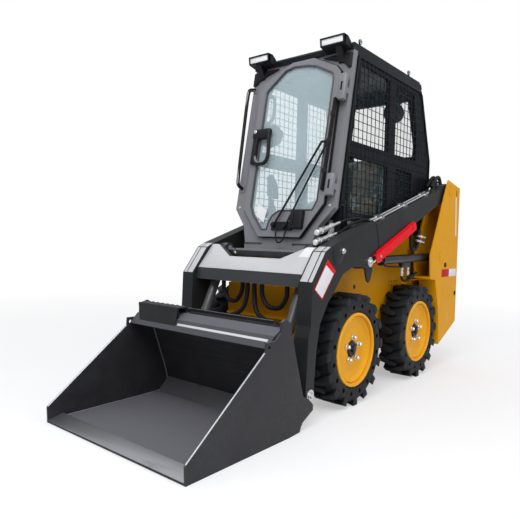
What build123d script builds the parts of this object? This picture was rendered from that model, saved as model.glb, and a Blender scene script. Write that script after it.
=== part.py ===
from build123d import *
from math import atan2, cos, degrees, hypot, radians, sin, tan
import os

os.makedirs("parts", exist_ok=True)

# A compact wheeled skid steer loader with a bucket. It faces -Y, its left side is +X, and z = 0 is the ground.
# Millimetres throughout. Outlines of plates that lie along the machine are (y, z) pairs.

# Driving dimensions: wheels
MID_Y = 285.0              # the middle of the wheelbase, behind the origin
WHEELBASE = 804.0
TYRE_R = 290.0
TYRE_W = 155.0
TYRE_OUT = 445.0           # outer sidewall from the centre line
SHOULDER = 20.0
LUGS = 16                  # on each half of a tread
LUG_DEEP = 22.0
SIDEWALL_IN = 3.0          # the sidewall, inside the lugs' ends
RIM_R = 192.0
RIM_WALL = 9.0
RIM_INSET = 5.0            # rim lip inside the outer sidewall
DISC_INSET = 34.0
DISC_T = 12.0
HUB_R = 52.0
AXLE_R = 30.0
AXLE_FLANGE_R = 70.0
AXLE_FLANGE_T = 4.0
HUB_CAP_R = 34.0
PIN_FIT = 0.05             # radial running clearance of a pin in its bore

# Driving dimensions: chassis
HULL_GAP = 6.0             # between the hull and the tyres' inner sides
HULL_HALF = TYRE_OUT - TYRE_W - HULL_GAP
HULL_BOTTOM = 190.0
DECK_Z = 600.0
HULL_FRONT = -315.0
HULL_SPLIT = 760.0         # where the closed hull ends and the engine bay starts
HULL_REAR = 1250.0
BAY_WALL = 8.0
NOSE_HALF = HULL_HALF - 16
NOSE_TOP = 755.0
NOSE_BACK = -200.0
LEDGE_Z = 440.0
LEDGE_OUT = 28.0
LEDGE_T = 10.0
STEP_HALF = 250.0
STEP_H = 30.0
STEP_FRONT = -362.0

# Driving dimensions: arm pivots, (y, z)
ARM_PIVOT = (1134.0, 1209.0)
BUCKET_PIN = (-532.0, 140.0)
LIFT_REAR = (996.0, 759.0)
LIFT_FRONT = (10.0, 741.0)
TILT_TOP = (-332.0, 795.0)
TILT_REACH = 150.0         # bucket pin to the tilt rod's eye
TILT_AHEAD = 16.0          # degrees ahead of straight up, bucket flat on the ground

# Driving dimensions: arms and towers
ARM_IN = 352.0
ARM_W = 80.0
ARM_HUB_R = 58.0
ARM_TOE_R = 33.0
LIFT_BOSS_R = 45.0
PIN_R = 20.0
PIN_HEAD_R = 27.0
PIN_HEAD_T = 6.0
TOWER_HEAD_T = 3.0
TOWER_IN = 338.0
TOWER_OUT = 453.0
TOWER_WALL = 8.0
TOWER_BACK = 1314.0
TOWER_FOOT = 165.0
TAIL_X = (TOWER_IN + 18, TOWER_OUT - 17)
TAIL_Z = (1010.0, 1150.0)
TOWER_SLOT = (1246.0, 1187.0)
TOWER_GROMMET = (1070.0, 704.0)
GROMMET_R = 15.0
TIE_HOLE_R = 14.0          # shackle holes near the towers' back edges
TIE_HOLE_IN = 26.0
TIE_HOLE_Z = 500.0
CROSS_T = 12.0             # crossmember plate

# Driving dimensions: cylinders
LIFT_BARREL_R = 26.0
LIFT_ROD_R = 15.0
LIFT_BARREL_END = 788.0    # from the rear pin
LIFT_ROD_LENGTH = 725.0
TILT_X = 287.0
TILT_BARREL_R = 25.0
TILT_ROD_R = 14.0
TILT_BARREL_END = 430.0
TILT_ROD_LENGTH = 420.0
EYE_W = 30.0
EYE_R = 28.0
NECK = 18.0                # between an eye's rim and its barrel
SIDE_GAP = 0.4             # between an eye and the plates beside it
BORE_GAP = 0.5             # a rod inside its barrel

# Driving dimensions: cab
CAB_HALF = 335.0
CAB_WALL = 30.0
CAB_LEAN = 10.54           # the front plane leans back, degrees
CAB_FRONT = -57.0          # the front plane at the lean's datum height
CAB_DATUM = 1846.0
CAB_FRONT_T = 40.0
CAB_TOP = 1862.0
CAB_BACK = 1026.0
CAB_SILL_BACK = 790.0
ROOF_T = 38.0
FLOOR_Z = 608.0
FLOOR_T = 12.0
GLASS_T = 5.0
GLASS_GAP = 0.3
DOOR_T = 24.0
DOOR_GAP = 6.0             # door behind face to the front frame's face
DOOR_HALF = 288.0
DOOR_BOTTOM = 858.0
DOOR_TOP = CAB_TOP - 12
DOOR_HINGE_X = 318.0
DOOR_PIN_R = 9.0

# Driving dimensions: bucket and its carrier
BUCKET_HALF = 456.0
BUCKET_PLATE = 8.0
BUCKET_TIP = -1315.0
CARRIER_HALF = 345.0
CARRIER_T = 14.0

# Driving dimensions: rear covers
COVER_HALF = 322.0
COVER_T = 26.0
HOOD_Z = 1175.0
HOOD_FRONT = 1048.0
HOOD_DROP = 25.0
REAR_DOOR_LOW = 430.0
REAR_DOOR_FACE = 1302.0
HINGE_PIN_R = 7.0

FRONT_AXLE = MID_Y - WHEELBASE / 2
REAR_AXLE = MID_Y + WHEELBASE / 2
ARM_OUT = ARM_IN + ARM_W
ARM_MID = (ARM_IN + ARM_OUT) / 2
LEAN = radians(CAB_LEAN)
TILT_LOW = (
    BUCKET_PIN[0] - TILT_REACH * sin(radians(TILT_AHEAD)),
    BUCKET_PIN[1] + TILT_REACH * cos(radians(TILT_AHEAD)),
)
SIDES = {"left": 1, "right": -1}


# Helpers. Each one works inside the sub-part's own BuildPart block.
def face(plane, points, radius=0.0):
    with BuildSketch(plane) as sketch:
        with BuildLine():
            if radius:
                FilletPolyline(*points, radius=radius, close=True)
            else:
                Polyline(*points, close=True)
        make_face()
    return sketch.sketch


def side_plate(points, x_low, x_high, radius=0.0, mode=Mode.ADD):
    extrude(face(Plane.YZ.offset(x_low), points, radius), amount=x_high - x_low, mode=mode)


def front_plate(points, y_low, y_high, radius=0.0, mode=Mode.ADD):
    extrude(face(Plane.XZ.offset(-y_high), points, radius), amount=y_high - y_low, mode=mode)


def flat_plate(points, z_low, z_high, radius=0.0, mode=Mode.ADD):
    extrude(face(Plane.XY.offset(z_low), points, radius), amount=z_high - z_low, mode=mode)


def block(x_span, y_span, z_span, mode=Mode.ADD):
    centre = tuple((low + high) / 2 for low, high in (x_span, y_span, z_span))
    sizes = [high - low for low, high in (x_span, y_span, z_span)]
    with Locations(centre):
        Box(*sizes, mode=mode)


def rod(start, end, radius, mode=Mode.ADD):
    line = Vector(*end) - Vector(*start)
    with BuildSketch(Plane(origin=start, z_dir=line)) as sketch:
        Circle(radius)
    extrude(sketch.sketch, amount=line.length, mode=mode)


def cross_pin(centre, radius, x_low, x_high, mode=Mode.ADD):
    rod((x_low, *centre), (x_high, *centre), radius, mode=mode)


def rectangle(low, high):
    return [low, (high[0], low[1]), high, (low[0], high[1])]


def along(start, end, distance):
    # The (y, z) point at a distance from start on the line to end
    length = hypot(end[0] - start[0], end[1] - start[1])
    return tuple(s + (e - s) * distance / length for s, e in zip(start, end))


def cab_front_y(z, depth=0.0):
    # The cab's front plane at a height, depth behind it
    return CAB_FRONT - (CAB_DATUM - z) * tan(LEAN) + depth / cos(LEAN)


def cab_plane(depth):
    # The leaning front plane, moved forward by -depth; its local y runs up the slope from the datum
    normal = Vector(0, -cos(LEAN), sin(LEAN))
    origin = Vector(0, CAB_FRONT, CAB_DATUM) - normal * depth
    return Plane(origin=origin, x_dir=(1, 0, 0), z_dir=normal)


def on_cab(points):
    # (x, z) heights turned into the leaning plane's own coordinates
    return [(x, (z - CAB_DATUM) / cos(LEAN)) for x, z in points]


def up_cab(x, depth, z):
    # A point at a height on a line in front of the leaning plane
    return tuple(cab_plane(depth).from_local_coords((x, (z - CAB_DATUM) / cos(LEAN), 0)))


def tube(points, radius):
    # A round hose or pipe on a filleted route, every arc as wide as its runs allow
    bends = []
    for before, corner, after in zip(points, points[1:], points[2:]):
        run_in = Vector(*corner) - Vector(*before)
        run_out = Vector(*after) - Vector(*corner)
        half_turn = radians(run_in.get_angle(run_out)) / 2
        bends.append(0.45 * min(run_in.length, run_out.length) / tan(half_turn))
    print("tube of radius", radius, "bends at", [round(bend, 1) for bend in bends])
    with BuildLine() as route:
        FilletPolyline(*points, radius=bends)
    with BuildSketch(Plane(origin=points[0], z_dir=Vector(*points[1]) - Vector(*points[0]))) as section:
        Circle(radius)
    sweep(section.sketch, path=route.line)


def write(name, sub_part):
    sub_part.part.label = name
    export_step(sub_part.part, f"parts/{name}.step")


# Wheels: a moulded tyre, a pressed disc rim with its hub, and a shaft in the hull
wheel_spots = [
    # name, side, axle y
    ("front_left", 1, FRONT_AXLE),
    ("front_right", -1, FRONT_AXLE),
    ("rear_left", 1, REAR_AXLE),
    ("rear_right", -1, REAR_AXLE),
]
TYRE_MID = TYRE_OUT - TYRE_W / 2
TREAD_R = TYRE_R - LUG_DEEP
LUG_TOP = (TYRE_R**2 - 52**2) ** 0.5
lug_outline = [
    # across from the middle, along the tread
    (TYRE_W / 2, -27),
    (TYRE_W / 2, 21),
    (26, 45),
    (-22, 52),
    (-28, 26),
    (12, 7),
]
pitch = 360 / LUGS
wheel_line = Axis((0, 0, 0), (1, 0, 0))


BORE_CORNER = RIM_R / cos(radians(pitch / 4))   # its flats touch the rim


def tread_ring(radius, x_low, x_high, mode=Mode.ADD):
    # A ring of flats, one for each lug's half pitch
    with BuildSketch(Plane.YZ.offset(x_low)) as ring:
        RegularPolygon(radius, 2 * LUGS)
    extrude(ring.sketch, amount=x_high - x_low, mode=mode)


with BuildPart() as lug:
    top_plane = Plane(origin=(TYRE_MID, 0, TREAD_R - 14), x_dir=(1, 0, 0), z_dir=(0, 0, 1))
    lug_face = face(top_plane, [(across, -ahead) for across, ahead in lug_outline])
    extrude(lug_face, amount=LUG_TOP - TREAD_R + 14)
inner_lug = lug.part.mirror(Plane.YZ.offset(TYRE_MID)).rotate(wheel_line, pitch / 2)
with BuildPart() as lug_tyre:
    tread_ring(TREAD_R, TYRE_OUT - TYRE_W + SIDEWALL_IN, TYRE_OUT - SIDEWALL_IN)
    tread_ring(BORE_CORNER, TYRE_OUT - TYRE_W, TYRE_OUT, Mode.SUBTRACT)
    add([half.rotate(wheel_line, pitch * step) for step in range(LUGS) for half in (lug.part, inner_lug)])
TYRE_IN = TYRE_OUT - TYRE_W
HUB_OUT = TYRE_OUT - DISC_INSET
for spot, side, axle_y in wheel_spots:
    wheel_plane = Plane(origin=(0, axle_y, TYRE_R), x_dir=(side, 0, 0), z_dir=(0, -side, 0))
    wheel_axis = Axis((0, axle_y, TYRE_R), (1, 0, 0))
    with BuildPart() as tyre:
        placed = lug_tyre.part if side > 0 else lug_tyre.part.mirror(Plane.YZ)
        add(placed.moved(Location((0, axle_y, TYRE_R))))
    write(f"tyre_{spot}", tyre)

    with BuildPart() as rim:
        rim_profile = [
            # across, radius: the barrel, the dished disc and the hub in one section
            (TYRE_IN + SHOULDER, RIM_R),
            (TYRE_OUT - SHOULDER, RIM_R),
            (TYRE_OUT - RIM_INSET, RIM_R),
            (TYRE_OUT - RIM_INSET, RIM_R - RIM_WALL),
            (TYRE_OUT - RIM_INSET - 5, RIM_R - 2 * RIM_WALL),
            (HUB_OUT + DISC_T, RIM_R - 4 * RIM_WALL),
            (HUB_OUT + DISC_T, 0),
            (HUB_OUT, 0),
            (HUB_OUT, AXLE_R + PIN_FIT),
            (TYRE_IN + SHOULDER, AXLE_R + PIN_FIT),
            (TYRE_IN + SHOULDER, HUB_R),
            (HUB_OUT, HUB_R),
            (HUB_OUT, RIM_R - 2 * RIM_WALL),
            (TYRE_IN + SHOULDER, RIM_R - RIM_WALL),
        ]
        revolve(face(wheel_plane, rim_profile), axis=wheel_axis)
        rod(
            (side * (HUB_OUT + DISC_T), axle_y, TYRE_R),
            (side * (TYRE_OUT - RIM_INSET), axle_y, TYRE_R),
            HUB_CAP_R,
        )
    write(f"rim_{spot}", rim)

with BuildPart() as axle_stubs:
    for spot, side, axle_y in wheel_spots:
        root = (side * HULL_HALF, axle_y, TYRE_R)
        rod(root, (side * (HULL_HALF + AXLE_FLANGE_T), axle_y, TYRE_R), AXLE_FLANGE_R)
        rod(root, (side * (HUB_OUT - 1), axle_y, TYRE_R), AXLE_R)
write("axle_stubs", axle_stubs)

# The hull: a closed welded box between the wheels
with BuildPart() as chassis:
    hull_side = [
        (HULL_FRONT, HULL_BOTTOM + 60),
        (HULL_FRONT + 60, HULL_BOTTOM),
        (HULL_SPLIT, HULL_BOTTOM),
        (HULL_SPLIT, DECK_Z),
        (HULL_FRONT, DECK_Z),
    ]
    side_plate(hull_side, -HULL_HALF, HULL_HALF)
write("chassis", chassis)

# The nose box under the cab's front, with the ledge that shows behind the carrier
with BuildPart() as nose_box:
    block((-NOSE_HALF, NOSE_HALF), (HULL_FRONT, NOSE_BACK), (DECK_Z, NOSE_TOP))
    block((-NOSE_HALF, NOSE_HALF), (HULL_FRONT - LEDGE_OUT, HULL_FRONT), (LEDGE_Z - LEDGE_T, LEDGE_Z))
write("nose_box", nose_box)

# The serrated tread on the nose box
with BuildPart() as tread_step:
    block((-STEP_HALF, STEP_HALF), (STEP_FRONT, HULL_FRONT + 40), (NOSE_TOP, NOSE_TOP + STEP_H))
write("tread_step", tread_step)

# The engine bay: side walls and floor behind the hull, open above and behind
BAY_IN = HULL_HALF - BAY_WALL
with BuildPart() as engine_bay:
    bay_side = [
        (HULL_SPLIT, HULL_BOTTOM),
        (HULL_REAR - 60, HULL_BOTTOM),
        (HULL_REAR, HULL_BOTTOM + 60),
        (HULL_REAR, DECK_Z),
        (HULL_SPLIT, DECK_Z),
    ]
    side_plate(bay_side, -HULL_HALF, HULL_HALF)
    bay_space = [
        (HULL_SPLIT - BAY_WALL, HULL_BOTTOM + BAY_WALL),
        (HULL_REAR - 60, HULL_BOTTOM + BAY_WALL),
        (HULL_REAR - BAY_WALL, HULL_BOTTOM + 60),
        (HULL_REAR - BAY_WALL, DECK_Z + 1),
        (HULL_SPLIT - BAY_WALL, DECK_Z + 1),
    ]
    side_plate(bay_space, -BAY_IN, BAY_IN, mode=Mode.SUBTRACT)
    block(
        (-BAY_IN, BAY_IN),
        (HULL_REAR - 2 * BAY_WALL, HULL_REAR + 1),
        (REAR_DOOR_LOW, DECK_Z + 1),
        mode=Mode.SUBTRACT,
    )
write("engine_bay", engine_bay)

ENGINE_HALF = 200.0
ENGINE_FRONT = 835.0
ENGINE_BACK = 1190.0
ENGINE_TOP = 880.0
with BuildPart() as engine:
    block((-ENGINE_HALF, ENGINE_HALF), (ENGINE_FRONT, ENGINE_BACK), (HULL_BOTTOM + BAY_WALL, ENGINE_TOP))
write("engine", engine)

# The towers: a deep pocket of plate on each side, where the arm and its lift cylinder turn
TOWER_SPACE_IN = TOWER_IN + TOWER_WALL
TOWER_SPACE_OUT = TOWER_OUT - TOWER_WALL
TYRE_BACK = REAR_AXLE + TYRE_R
tower_side = [
    (ARM_PIVOT[0] - 55, ARM_PIVOT[1] + 77),
    (LIFT_REAR[0] - 191, LIFT_REAR[1] + 10),
    (LIFT_REAR[0] - 176, DECK_Z + 16),
    (TYRE_BACK - 75, DECK_Z + 8),
    (TYRE_BACK - 2, TYRE_R + 110),
    (TYRE_BACK + 16, TYRE_R),
    (TYRE_BACK + 19, TOWER_FOOT),
    (TOWER_BACK, TOWER_FOOT + 128),
    (TOWER_BACK, ARM_PIVOT[1] + 39),
]
tower_space = [
    (ARM_PIVOT[0] - 70, ARM_PIVOT[1] + 120),
    (LIFT_REAR[0] - 240, LIFT_REAR[1] + 10),
    (LIFT_REAR[0] - 240, DECK_Z + 30),
    (TYRE_BACK - 60, DECK_Z + 30),
    (TYRE_BACK + 12, TYRE_R + 110),
    (TYRE_BACK + 28, TYRE_R),
    (TYRE_BACK + 30, TOWER_FOOT + 14),
    (TOWER_BACK - TOWER_WALL, TOWER_FOOT + 138),
    (TOWER_BACK - TOWER_WALL, ARM_PIVOT[1] + 120),
]
tower_foot = [
    (TYRE_BACK - 2, TYRE_R + 110),
    (TYRE_BACK + 16, TYRE_R),
    (TYRE_BACK + 19, TOWER_FOOT),
    (TOWER_BACK, TOWER_FOOT + 128),
    (TOWER_BACK, REAR_DOOR_LOW - 20),
    (TYRE_BACK - 2, REAR_DOOR_LOW - 20),
]
for name, side in SIDES.items():
    with BuildPart() as tower:
        side_plate(tower_side, TOWER_IN, TOWER_OUT)
        side_plate(tower_space, TOWER_SPACE_IN, TOWER_SPACE_OUT, mode=Mode.SUBTRACT)
        side_plate(tower_foot, HULL_HALF, TOWER_IN)
        flat_plate(
            rectangle((HULL_HALF, LIFT_REAR[0] - 176), (TOWER_IN, HULL_REAR)),
            DECK_Z,
            DECK_Z + TOWER_WALL,
        )
        slot = rectangle(TOWER_SLOT, (TOWER_SLOT[0] + 10, TOWER_SLOT[1] + 36))
        side_plate(slot, TOWER_SPACE_OUT - 1, TOWER_OUT + 1, mode=Mode.SUBTRACT)
        cross_pin(TOWER_GROMMET, GROMMET_R, TOWER_SPACE_OUT - 1, TOWER_OUT + 1, mode=Mode.SUBTRACT)
        cross_pin(ARM_PIVOT, PIN_R + PIN_FIT, TOWER_IN - 1, TOWER_OUT + 1, mode=Mode.SUBTRACT)
        cross_pin(LIFT_REAR, PIN_R + PIN_FIT, TOWER_IN - 1, TOWER_OUT + 1, mode=Mode.SUBTRACT)
        tie_hole = (TOWER_BACK - TIE_HOLE_IN, TIE_HOLE_Z)
        cross_pin(tie_hole, TIE_HOLE_R, TOWER_SPACE_OUT - 1, TOWER_OUT + 1, mode=Mode.SUBTRACT)
        block(TAIL_X, (TOWER_BACK - TOWER_WALL - 1, TOWER_BACK + 1), TAIL_Z, mode=Mode.SUBTRACT)
        if side < 0:
            mirror(about=Plane.YZ, mode=Mode.REPLACE)
    write(f"tower_{name}", tower)

# Tail lamps, let into the towers' back walls
with BuildPart() as tail_lamps:
    block(TAIL_X, (TOWER_BACK - TOWER_WALL, TOWER_BACK), TAIL_Z)
    mirror(about=Plane.YZ)
write("tail_lamps", tail_lamps)

# The hull's upper side walls, up to the cab and back past the engine, with the ledge that carries the cab
SILL_Z = 900.0
SILL_T = 8.0
CORNER_BACK = -135.0       # behind the cab's stepped-in corners
BAY_TOP = HOOD_Z - COVER_T - 14
with BuildPart() as hull_sides:
    wall_side = [
        (CORNER_BACK, DECK_Z),
        (HULL_REAR, DECK_Z),
        (HULL_REAR, BAY_TOP - HOOD_DROP),
        (HOOD_FRONT, BAY_TOP),
        (HOOD_FRONT, SILL_Z),
        (CORNER_BACK, SILL_Z),
    ]
    side_plate(wall_side, BAY_IN, HULL_HALF)
    flat_plate(rectangle((HULL_HALF, CORNER_BACK), (CAB_HALF, CAB_SILL_BACK)), SILL_Z - SILL_T, SILL_Z)
    mirror(about=Plane.YZ)
write("hull_sides", hull_sides)

# Arm pivot pins and lift cylinder pins in the towers
with BuildPart() as tower_pins:
    for centre in (ARM_PIVOT, LIFT_REAR):
        cross_pin(centre, PIN_R, TOWER_IN, TOWER_OUT)
        cross_pin(centre, PIN_HEAD_R, TOWER_OUT, TOWER_OUT + TOWER_HEAD_T)
    mirror(about=Plane.YZ)
write("tower_pins", tower_pins)

# The arms: a box from the tower, stepped down in front into a post that carries the bucket
arm_front = [
    # from the bucket pin: up the post's face, over the shoulder and back along the top
    (-ARM_TOE_R, 5),
    (-22, 262),
    (-5, 315),
    (0, 514),
    (110, 656),
    (158, 680),
    (563, 816),
    (599, 803),
]
arm_tail = [
    # from the arm pivot: the top, then the belly
    (-147, 2),
    (-79, 39),
    (0, ARM_HUB_R - 8),
    (ARM_HUB_R - 18, 0),
    (0, -ARM_HUB_R + 8),
    (-151, -96),
    (-370, -175),
]
arm_belly = [
    # from the lift boss: the belly behind it, then in front of it
    (LIFT_BOSS_R + 70, 50),
    (LIFT_BOSS_R, 0),
    (LIFT_BOSS_R - 20, -38),
    (-LIFT_BOSS_R + 20, -38),
]
arm_back = [
    # from the bucket pin: the belly ahead of the boss, then down the post's back
    (467, 578),
    (355, 577),
    (266, 545),
    (165, 439),
    (139, 420),
    (71, 318),
    (47, 197),
    (32, 2),
]


def shifted(points, origin):
    return [(y + origin[0], z + origin[1]) for y, z in points]


arm_side = (
    shifted(arm_front, BUCKET_PIN)
    + shifted(arm_tail, ARM_PIVOT)
    + shifted(arm_belly, LIFT_FRONT)
    + shifted(arm_back, BUCKET_PIN)
)
EYE_SLOT = EYE_W / 2 + SIDE_GAP
lift_slot = shifted(rectangle((-70, -80), (175, 45)), LIFT_FRONT)
hose_tab = [(-24, -34), (64, -34), (40, -100), (20, -113), (0, -100)]
for name, side in SIDES.items():
    with BuildPart() as arm:
        side_plate(arm_side, ARM_IN, ARM_OUT)
        cross_pin(BUCKET_PIN, ARM_TOE_R, ARM_IN, ARM_OUT)
        cross_pin(ARM_PIVOT, ARM_HUB_R, ARM_IN, ARM_OUT)
        side_plate(lift_slot, ARM_MID - EYE_SLOT, ARM_MID + EYE_SLOT, mode=Mode.SUBTRACT)
        side_plate(shifted(hose_tab, LIFT_FRONT), ARM_MID + EYE_SLOT + 3, ARM_MID + EYE_SLOT + 11)
        cross_pin(ARM_PIVOT, PIN_R + PIN_FIT, ARM_IN - 1, ARM_OUT + 1, mode=Mode.SUBTRACT)
        cross_pin(BUCKET_PIN, PIN_R, ARM_IN - 1, ARM_OUT + 1, mode=Mode.SUBTRACT)
        if side < 0:
            mirror(about=Plane.YZ, mode=Mode.REPLACE)
    write(f"arm_{name}", arm)

# Bucket pins, fixed in the arms, the heads of the lift pins and the tilt cylinders' top pins
BRACKET_T = 8.0
BRACKET_IN = TILT_X - EYE_SLOT - BRACKET_T
with BuildPart() as arm_pins:
    cross_pin(BUCKET_PIN, PIN_R, ARM_IN - 40, ARM_OUT)
    cross_pin(BUCKET_PIN, PIN_HEAD_R, ARM_OUT, ARM_OUT + PIN_HEAD_T)
    cross_pin(LIFT_FRONT, PIN_HEAD_R, ARM_OUT, ARM_OUT + PIN_HEAD_T)
    cross_pin(TILT_TOP, PIN_R - 4, BRACKET_IN, TILT_X + EYE_SLOT + BRACKET_T)
    mirror(about=Plane.YZ)
write("arm_pins", arm_pins)

# The crossmember: a bent plate between the arms with a notch over the tread, and the tilt cylinders' brackets
NOTCH_HALF = 170.0
NOTCH_TOP_HALF = 300.0
cross_side = [
    # from the bucket pin
    (28, 485),
    (40, 546),
    (150, 674),
    (150 + CROSS_T, 674 - CROSS_T),
    (40 + CROSS_T, 546 - CROSS_T),
    (28 + CROSS_T, 485),
]
tilt_bracket = [
    # from the tilt cylinder's top pin; the last two points lie in the bent plate
    (-4, -30),
    (28, -12),
    (30, 12),
    (10, 28),
    (-14, 28),
    (-43, 11),
    (-64, -17),
]
RAIL_Z = 690.0
RAIL_HALF = 236.0
HOSE_Y = -440.0
hose_rail = [
    (HOSE_Y - 30, RAIL_Z), (HOSE_Y + 16, RAIL_Z), (HOSE_Y + 16, RAIL_Z + 6), (HOSE_Y - 25, RAIL_Z + 6)
]
with BuildPart() as crossmember:
    side_plate(shifted(cross_side, BUCKET_PIN), -ARM_IN, ARM_IN)
    notch_z = BUCKET_PIN[1] + 612
    notch_top = BUCKET_PIN[1] + 676
    notch = [
        (-NOTCH_HALF, notch_z),
        (NOTCH_HALF, notch_z),
        (NOTCH_TOP_HALF, notch_top),
        (-NOTCH_TOP_HALF, notch_top),
    ]
    front_plate(notch, BUCKET_PIN[0] + 60, BUCKET_PIN[0] + 200, mode=Mode.SUBTRACT)
    for side in SIDES.values():
        for inner in (BRACKET_IN, TILT_X + EYE_SLOT):
            x_low = inner if side > 0 else -inner - BRACKET_T
            side_plate(shifted(tilt_bracket, TILT_TOP), x_low, x_low + BRACKET_T)
    side_plate(hose_rail, -RAIL_HALF, RAIL_HALF)
    for side in SIDES.values():
        cross_pin(
            TILT_TOP,
            PIN_R - 4 + PIN_FIT,
            side * BRACKET_IN - side,
            side * (TILT_X + 40),
            mode=Mode.SUBTRACT,
        )
write("crossmember", crossmember)

# Hoses that hang under the crossmember: a loop on each side and two drops to the tilt cylinders
HOSE_R = 12.0
with BuildPart() as front_hoses:
    for left, right, low in ((-205, -70, 515), (62, 222, 503)):
        tube(
            [
                (left, HOSE_Y, RAIL_Z),
                (left, HOSE_Y, low + 55),
                (left + 40, HOSE_Y, low),
                (right - 40, HOSE_Y, low),
                (right, HOSE_Y, low + 55),
                (right, HOSE_Y, RAIL_Z),
            ],
            HOSE_R,
        )
    for side, start in ((-1, -34), (1, 12)):
        tube(
            [
                (start, HOSE_Y, RAIL_Z),
                (start, HOSE_Y, 560),
                (start + side * 20, HOSE_Y - 10, 470),
                (side * 150, HOSE_Y - 40, 430),
                (side * (TILT_X - TILT_BARREL_R - 6), HOSE_Y - 55, 428),
            ],
            HOSE_R,
        )
write("front_hoses", front_hoses)

# Steel lines along the left arm's top, held by clamps, and the hoses at their two ends
ARM_TOP = ((BUCKET_PIN[0] + 599, BUCKET_PIN[1] + 803), (ARM_PIVOT[0] - 147, ARM_PIVOT[1] + 2))
LINE_R = 6.0
LINE_UP = 10.0
arm_lines_x = [372.0, 402.0]


def on_arm_top(y, up=0.0):
    # The (y, z) point on the arm's top behind its step
    slope = (ARM_TOP[1][1] - ARM_TOP[0][1]) / (ARM_TOP[1][0] - ARM_TOP[0][0])
    return (y, ARM_TOP[0][1] + slope * (y - ARM_TOP[0][0]) + up)


with BuildPart() as arm_lines:
    for x in arm_lines_x:
        rod((x, *on_arm_top(131, LINE_UP)), (x, *on_arm_top(838, LINE_UP)), LINE_R)
    for y in (180, 480, 790):
        clamp = [on_arm_top(y), on_arm_top(y + 26), on_arm_top(y + 26, 20), on_arm_top(y, 20)]
        side_plate(clamp, arm_lines_x[0] - 12, arm_lines_x[1] + 12)
write("arm_lines", arm_lines)

# Hose couplings in a bracket on the left arm's inner face, for a working tool
COUPLER_X = 346.0
coupler_lines = [
    # (y, z) of the front end and of the rear end
    ((-380, 886), (-170, 944)),
    ((-391, 838), (-200, 887)),
]
with BuildPart() as couplers:
    for front, rear in coupler_lines:
        middle = along(front, rear, 96)
        rod((COUPLER_X, *front), (COUPLER_X, *middle), 12)
        rod((COUPLER_X, *middle), (COUPLER_X, *rear), 7)
    plate = [(-276, 826), (-246, 826), (-232, 880), (-232, 938), (-262, 938), (-276, 880)]
    side_plate(plate, ARM_IN - 6, ARM_IN)
write("couplers", couplers)

ARM_HOSE_R = 7.0
with BuildPart() as arm_hoses:
    ahead = [
        # x, y, z: from each coupling to the front end of its steel line
        [(COUPLER_X, -170, 944), (COUPLER_X, -130, 955.05), (COUPLER_X + 12, -60, 968), (372, 0, 973)],
        [(COUPLER_X, -200, 887), (COUPLER_X, -160, 897.26), (COUPLER_X + 22, -90, 938), (402, 0, 971)],
    ]
    for x, route in zip(arm_lines_x, ahead):
        tube(route + [(x, *on_arm_top(70, LINE_UP)), (x, *on_arm_top(131, LINE_UP))], ARM_HOSE_R)
    for x in arm_lines_x:
        start = (x, *on_arm_top(838, LINE_UP))
        rise = (x, *on_arm_top(890, LINE_UP))
        tube([start, rise, (x, *on_arm_top(950, 38)), (x, 1012, 1270), (x, 1056, 1261)], ARM_HOSE_R)
write("arm_hoses", arm_hoses)

# The red prop that holds the arms up for service, stowed under the left arm
PROP_W = 48.0
PROP_T = 5.0
PROP_DEEP = 18.0
PROP_GAP = 2.0
PROP_FRONT = (50.0, 753.0)
PROP_BACK = (562.0, 954.0)
prop_lean = degrees(atan2(PROP_BACK[1] - PROP_FRONT[1], PROP_BACK[0] - PROP_FRONT[0]))
prop_length = hypot(PROP_BACK[0] - PROP_FRONT[0], PROP_BACK[1] - PROP_FRONT[1])
with BuildPart() as safety_prop:
    prop_plane = Plane(
        origin=(ARM_OUT + PROP_GAP, *PROP_FRONT),
        x_dir=(0, cos(radians(prop_lean)), sin(radians(prop_lean))),
        z_dir=(1, 0, 0),
    )
    extrude(face(prop_plane, rectangle((0, -PROP_W / 2), (prop_length, PROP_W / 2)), 4), amount=PROP_DEEP)
    channel = rectangle((-1, -PROP_W / 2 + PROP_T), (prop_length + 1, PROP_W / 2 - PROP_T))
    extrude(face(prop_plane, channel), amount=PROP_DEEP - PROP_T, mode=Mode.SUBTRACT)
    bolt = along(PROP_BACK, PROP_FRONT, 45)
    cross_pin(bolt, 11, ARM_OUT, ARM_OUT + PROP_GAP + PROP_DEEP + 4)
write("safety_prop", safety_prop)


# Cylinders. Each barrel holds its rod with a clearance, and each rod ends in an eye.
def cylinder_barrel(x, pin, far_pin, radius, end, rod_radius, cavity_start):
    stop = (x, *along(pin, far_pin, end))
    rod((x, *pin), stop, EYE_W / 2)
    rod((x, *along(pin, far_pin, EYE_R + NECK)), stop, radius)
    rod((x, *along(pin, far_pin, end - 35)), (x, *along(pin, far_pin, end - 5)), radius + 4)
    cross_pin(pin, EYE_R, x - EYE_W / 2, x + EYE_W / 2)
    rod(
        (x, *along(pin, far_pin, cavity_start)),
        (x, *along(pin, far_pin, end + 1)),
        rod_radius + BORE_GAP,
        Mode.SUBTRACT,
    )


def cylinder_rod(x, eye, far_pin, radius, length):
    rod((x, *eye), (x, *along(eye, far_pin, length)), radius)
    cross_pin(eye, EYE_R, x - EYE_W / 2, x + EYE_W / 2)


LIFT_CLOSED = hypot(LIFT_FRONT[0] - LIFT_REAR[0], LIFT_FRONT[1] - LIFT_REAR[1])
with BuildPart() as lift_barrels:
    cylinder_barrel(
        ARM_MID,
        LIFT_REAR,
        LIFT_FRONT,
        LIFT_BARREL_R,
        LIFT_BARREL_END,
        LIFT_ROD_R,
        LIFT_CLOSED - LIFT_ROD_LENGTH - 20,
    )
    cross_pin(LIFT_REAR, PIN_R + PIN_FIT, ARM_IN, ARM_OUT, mode=Mode.SUBTRACT)
    mirror(about=Plane.YZ)
write("lift_barrels", lift_barrels)

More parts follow.
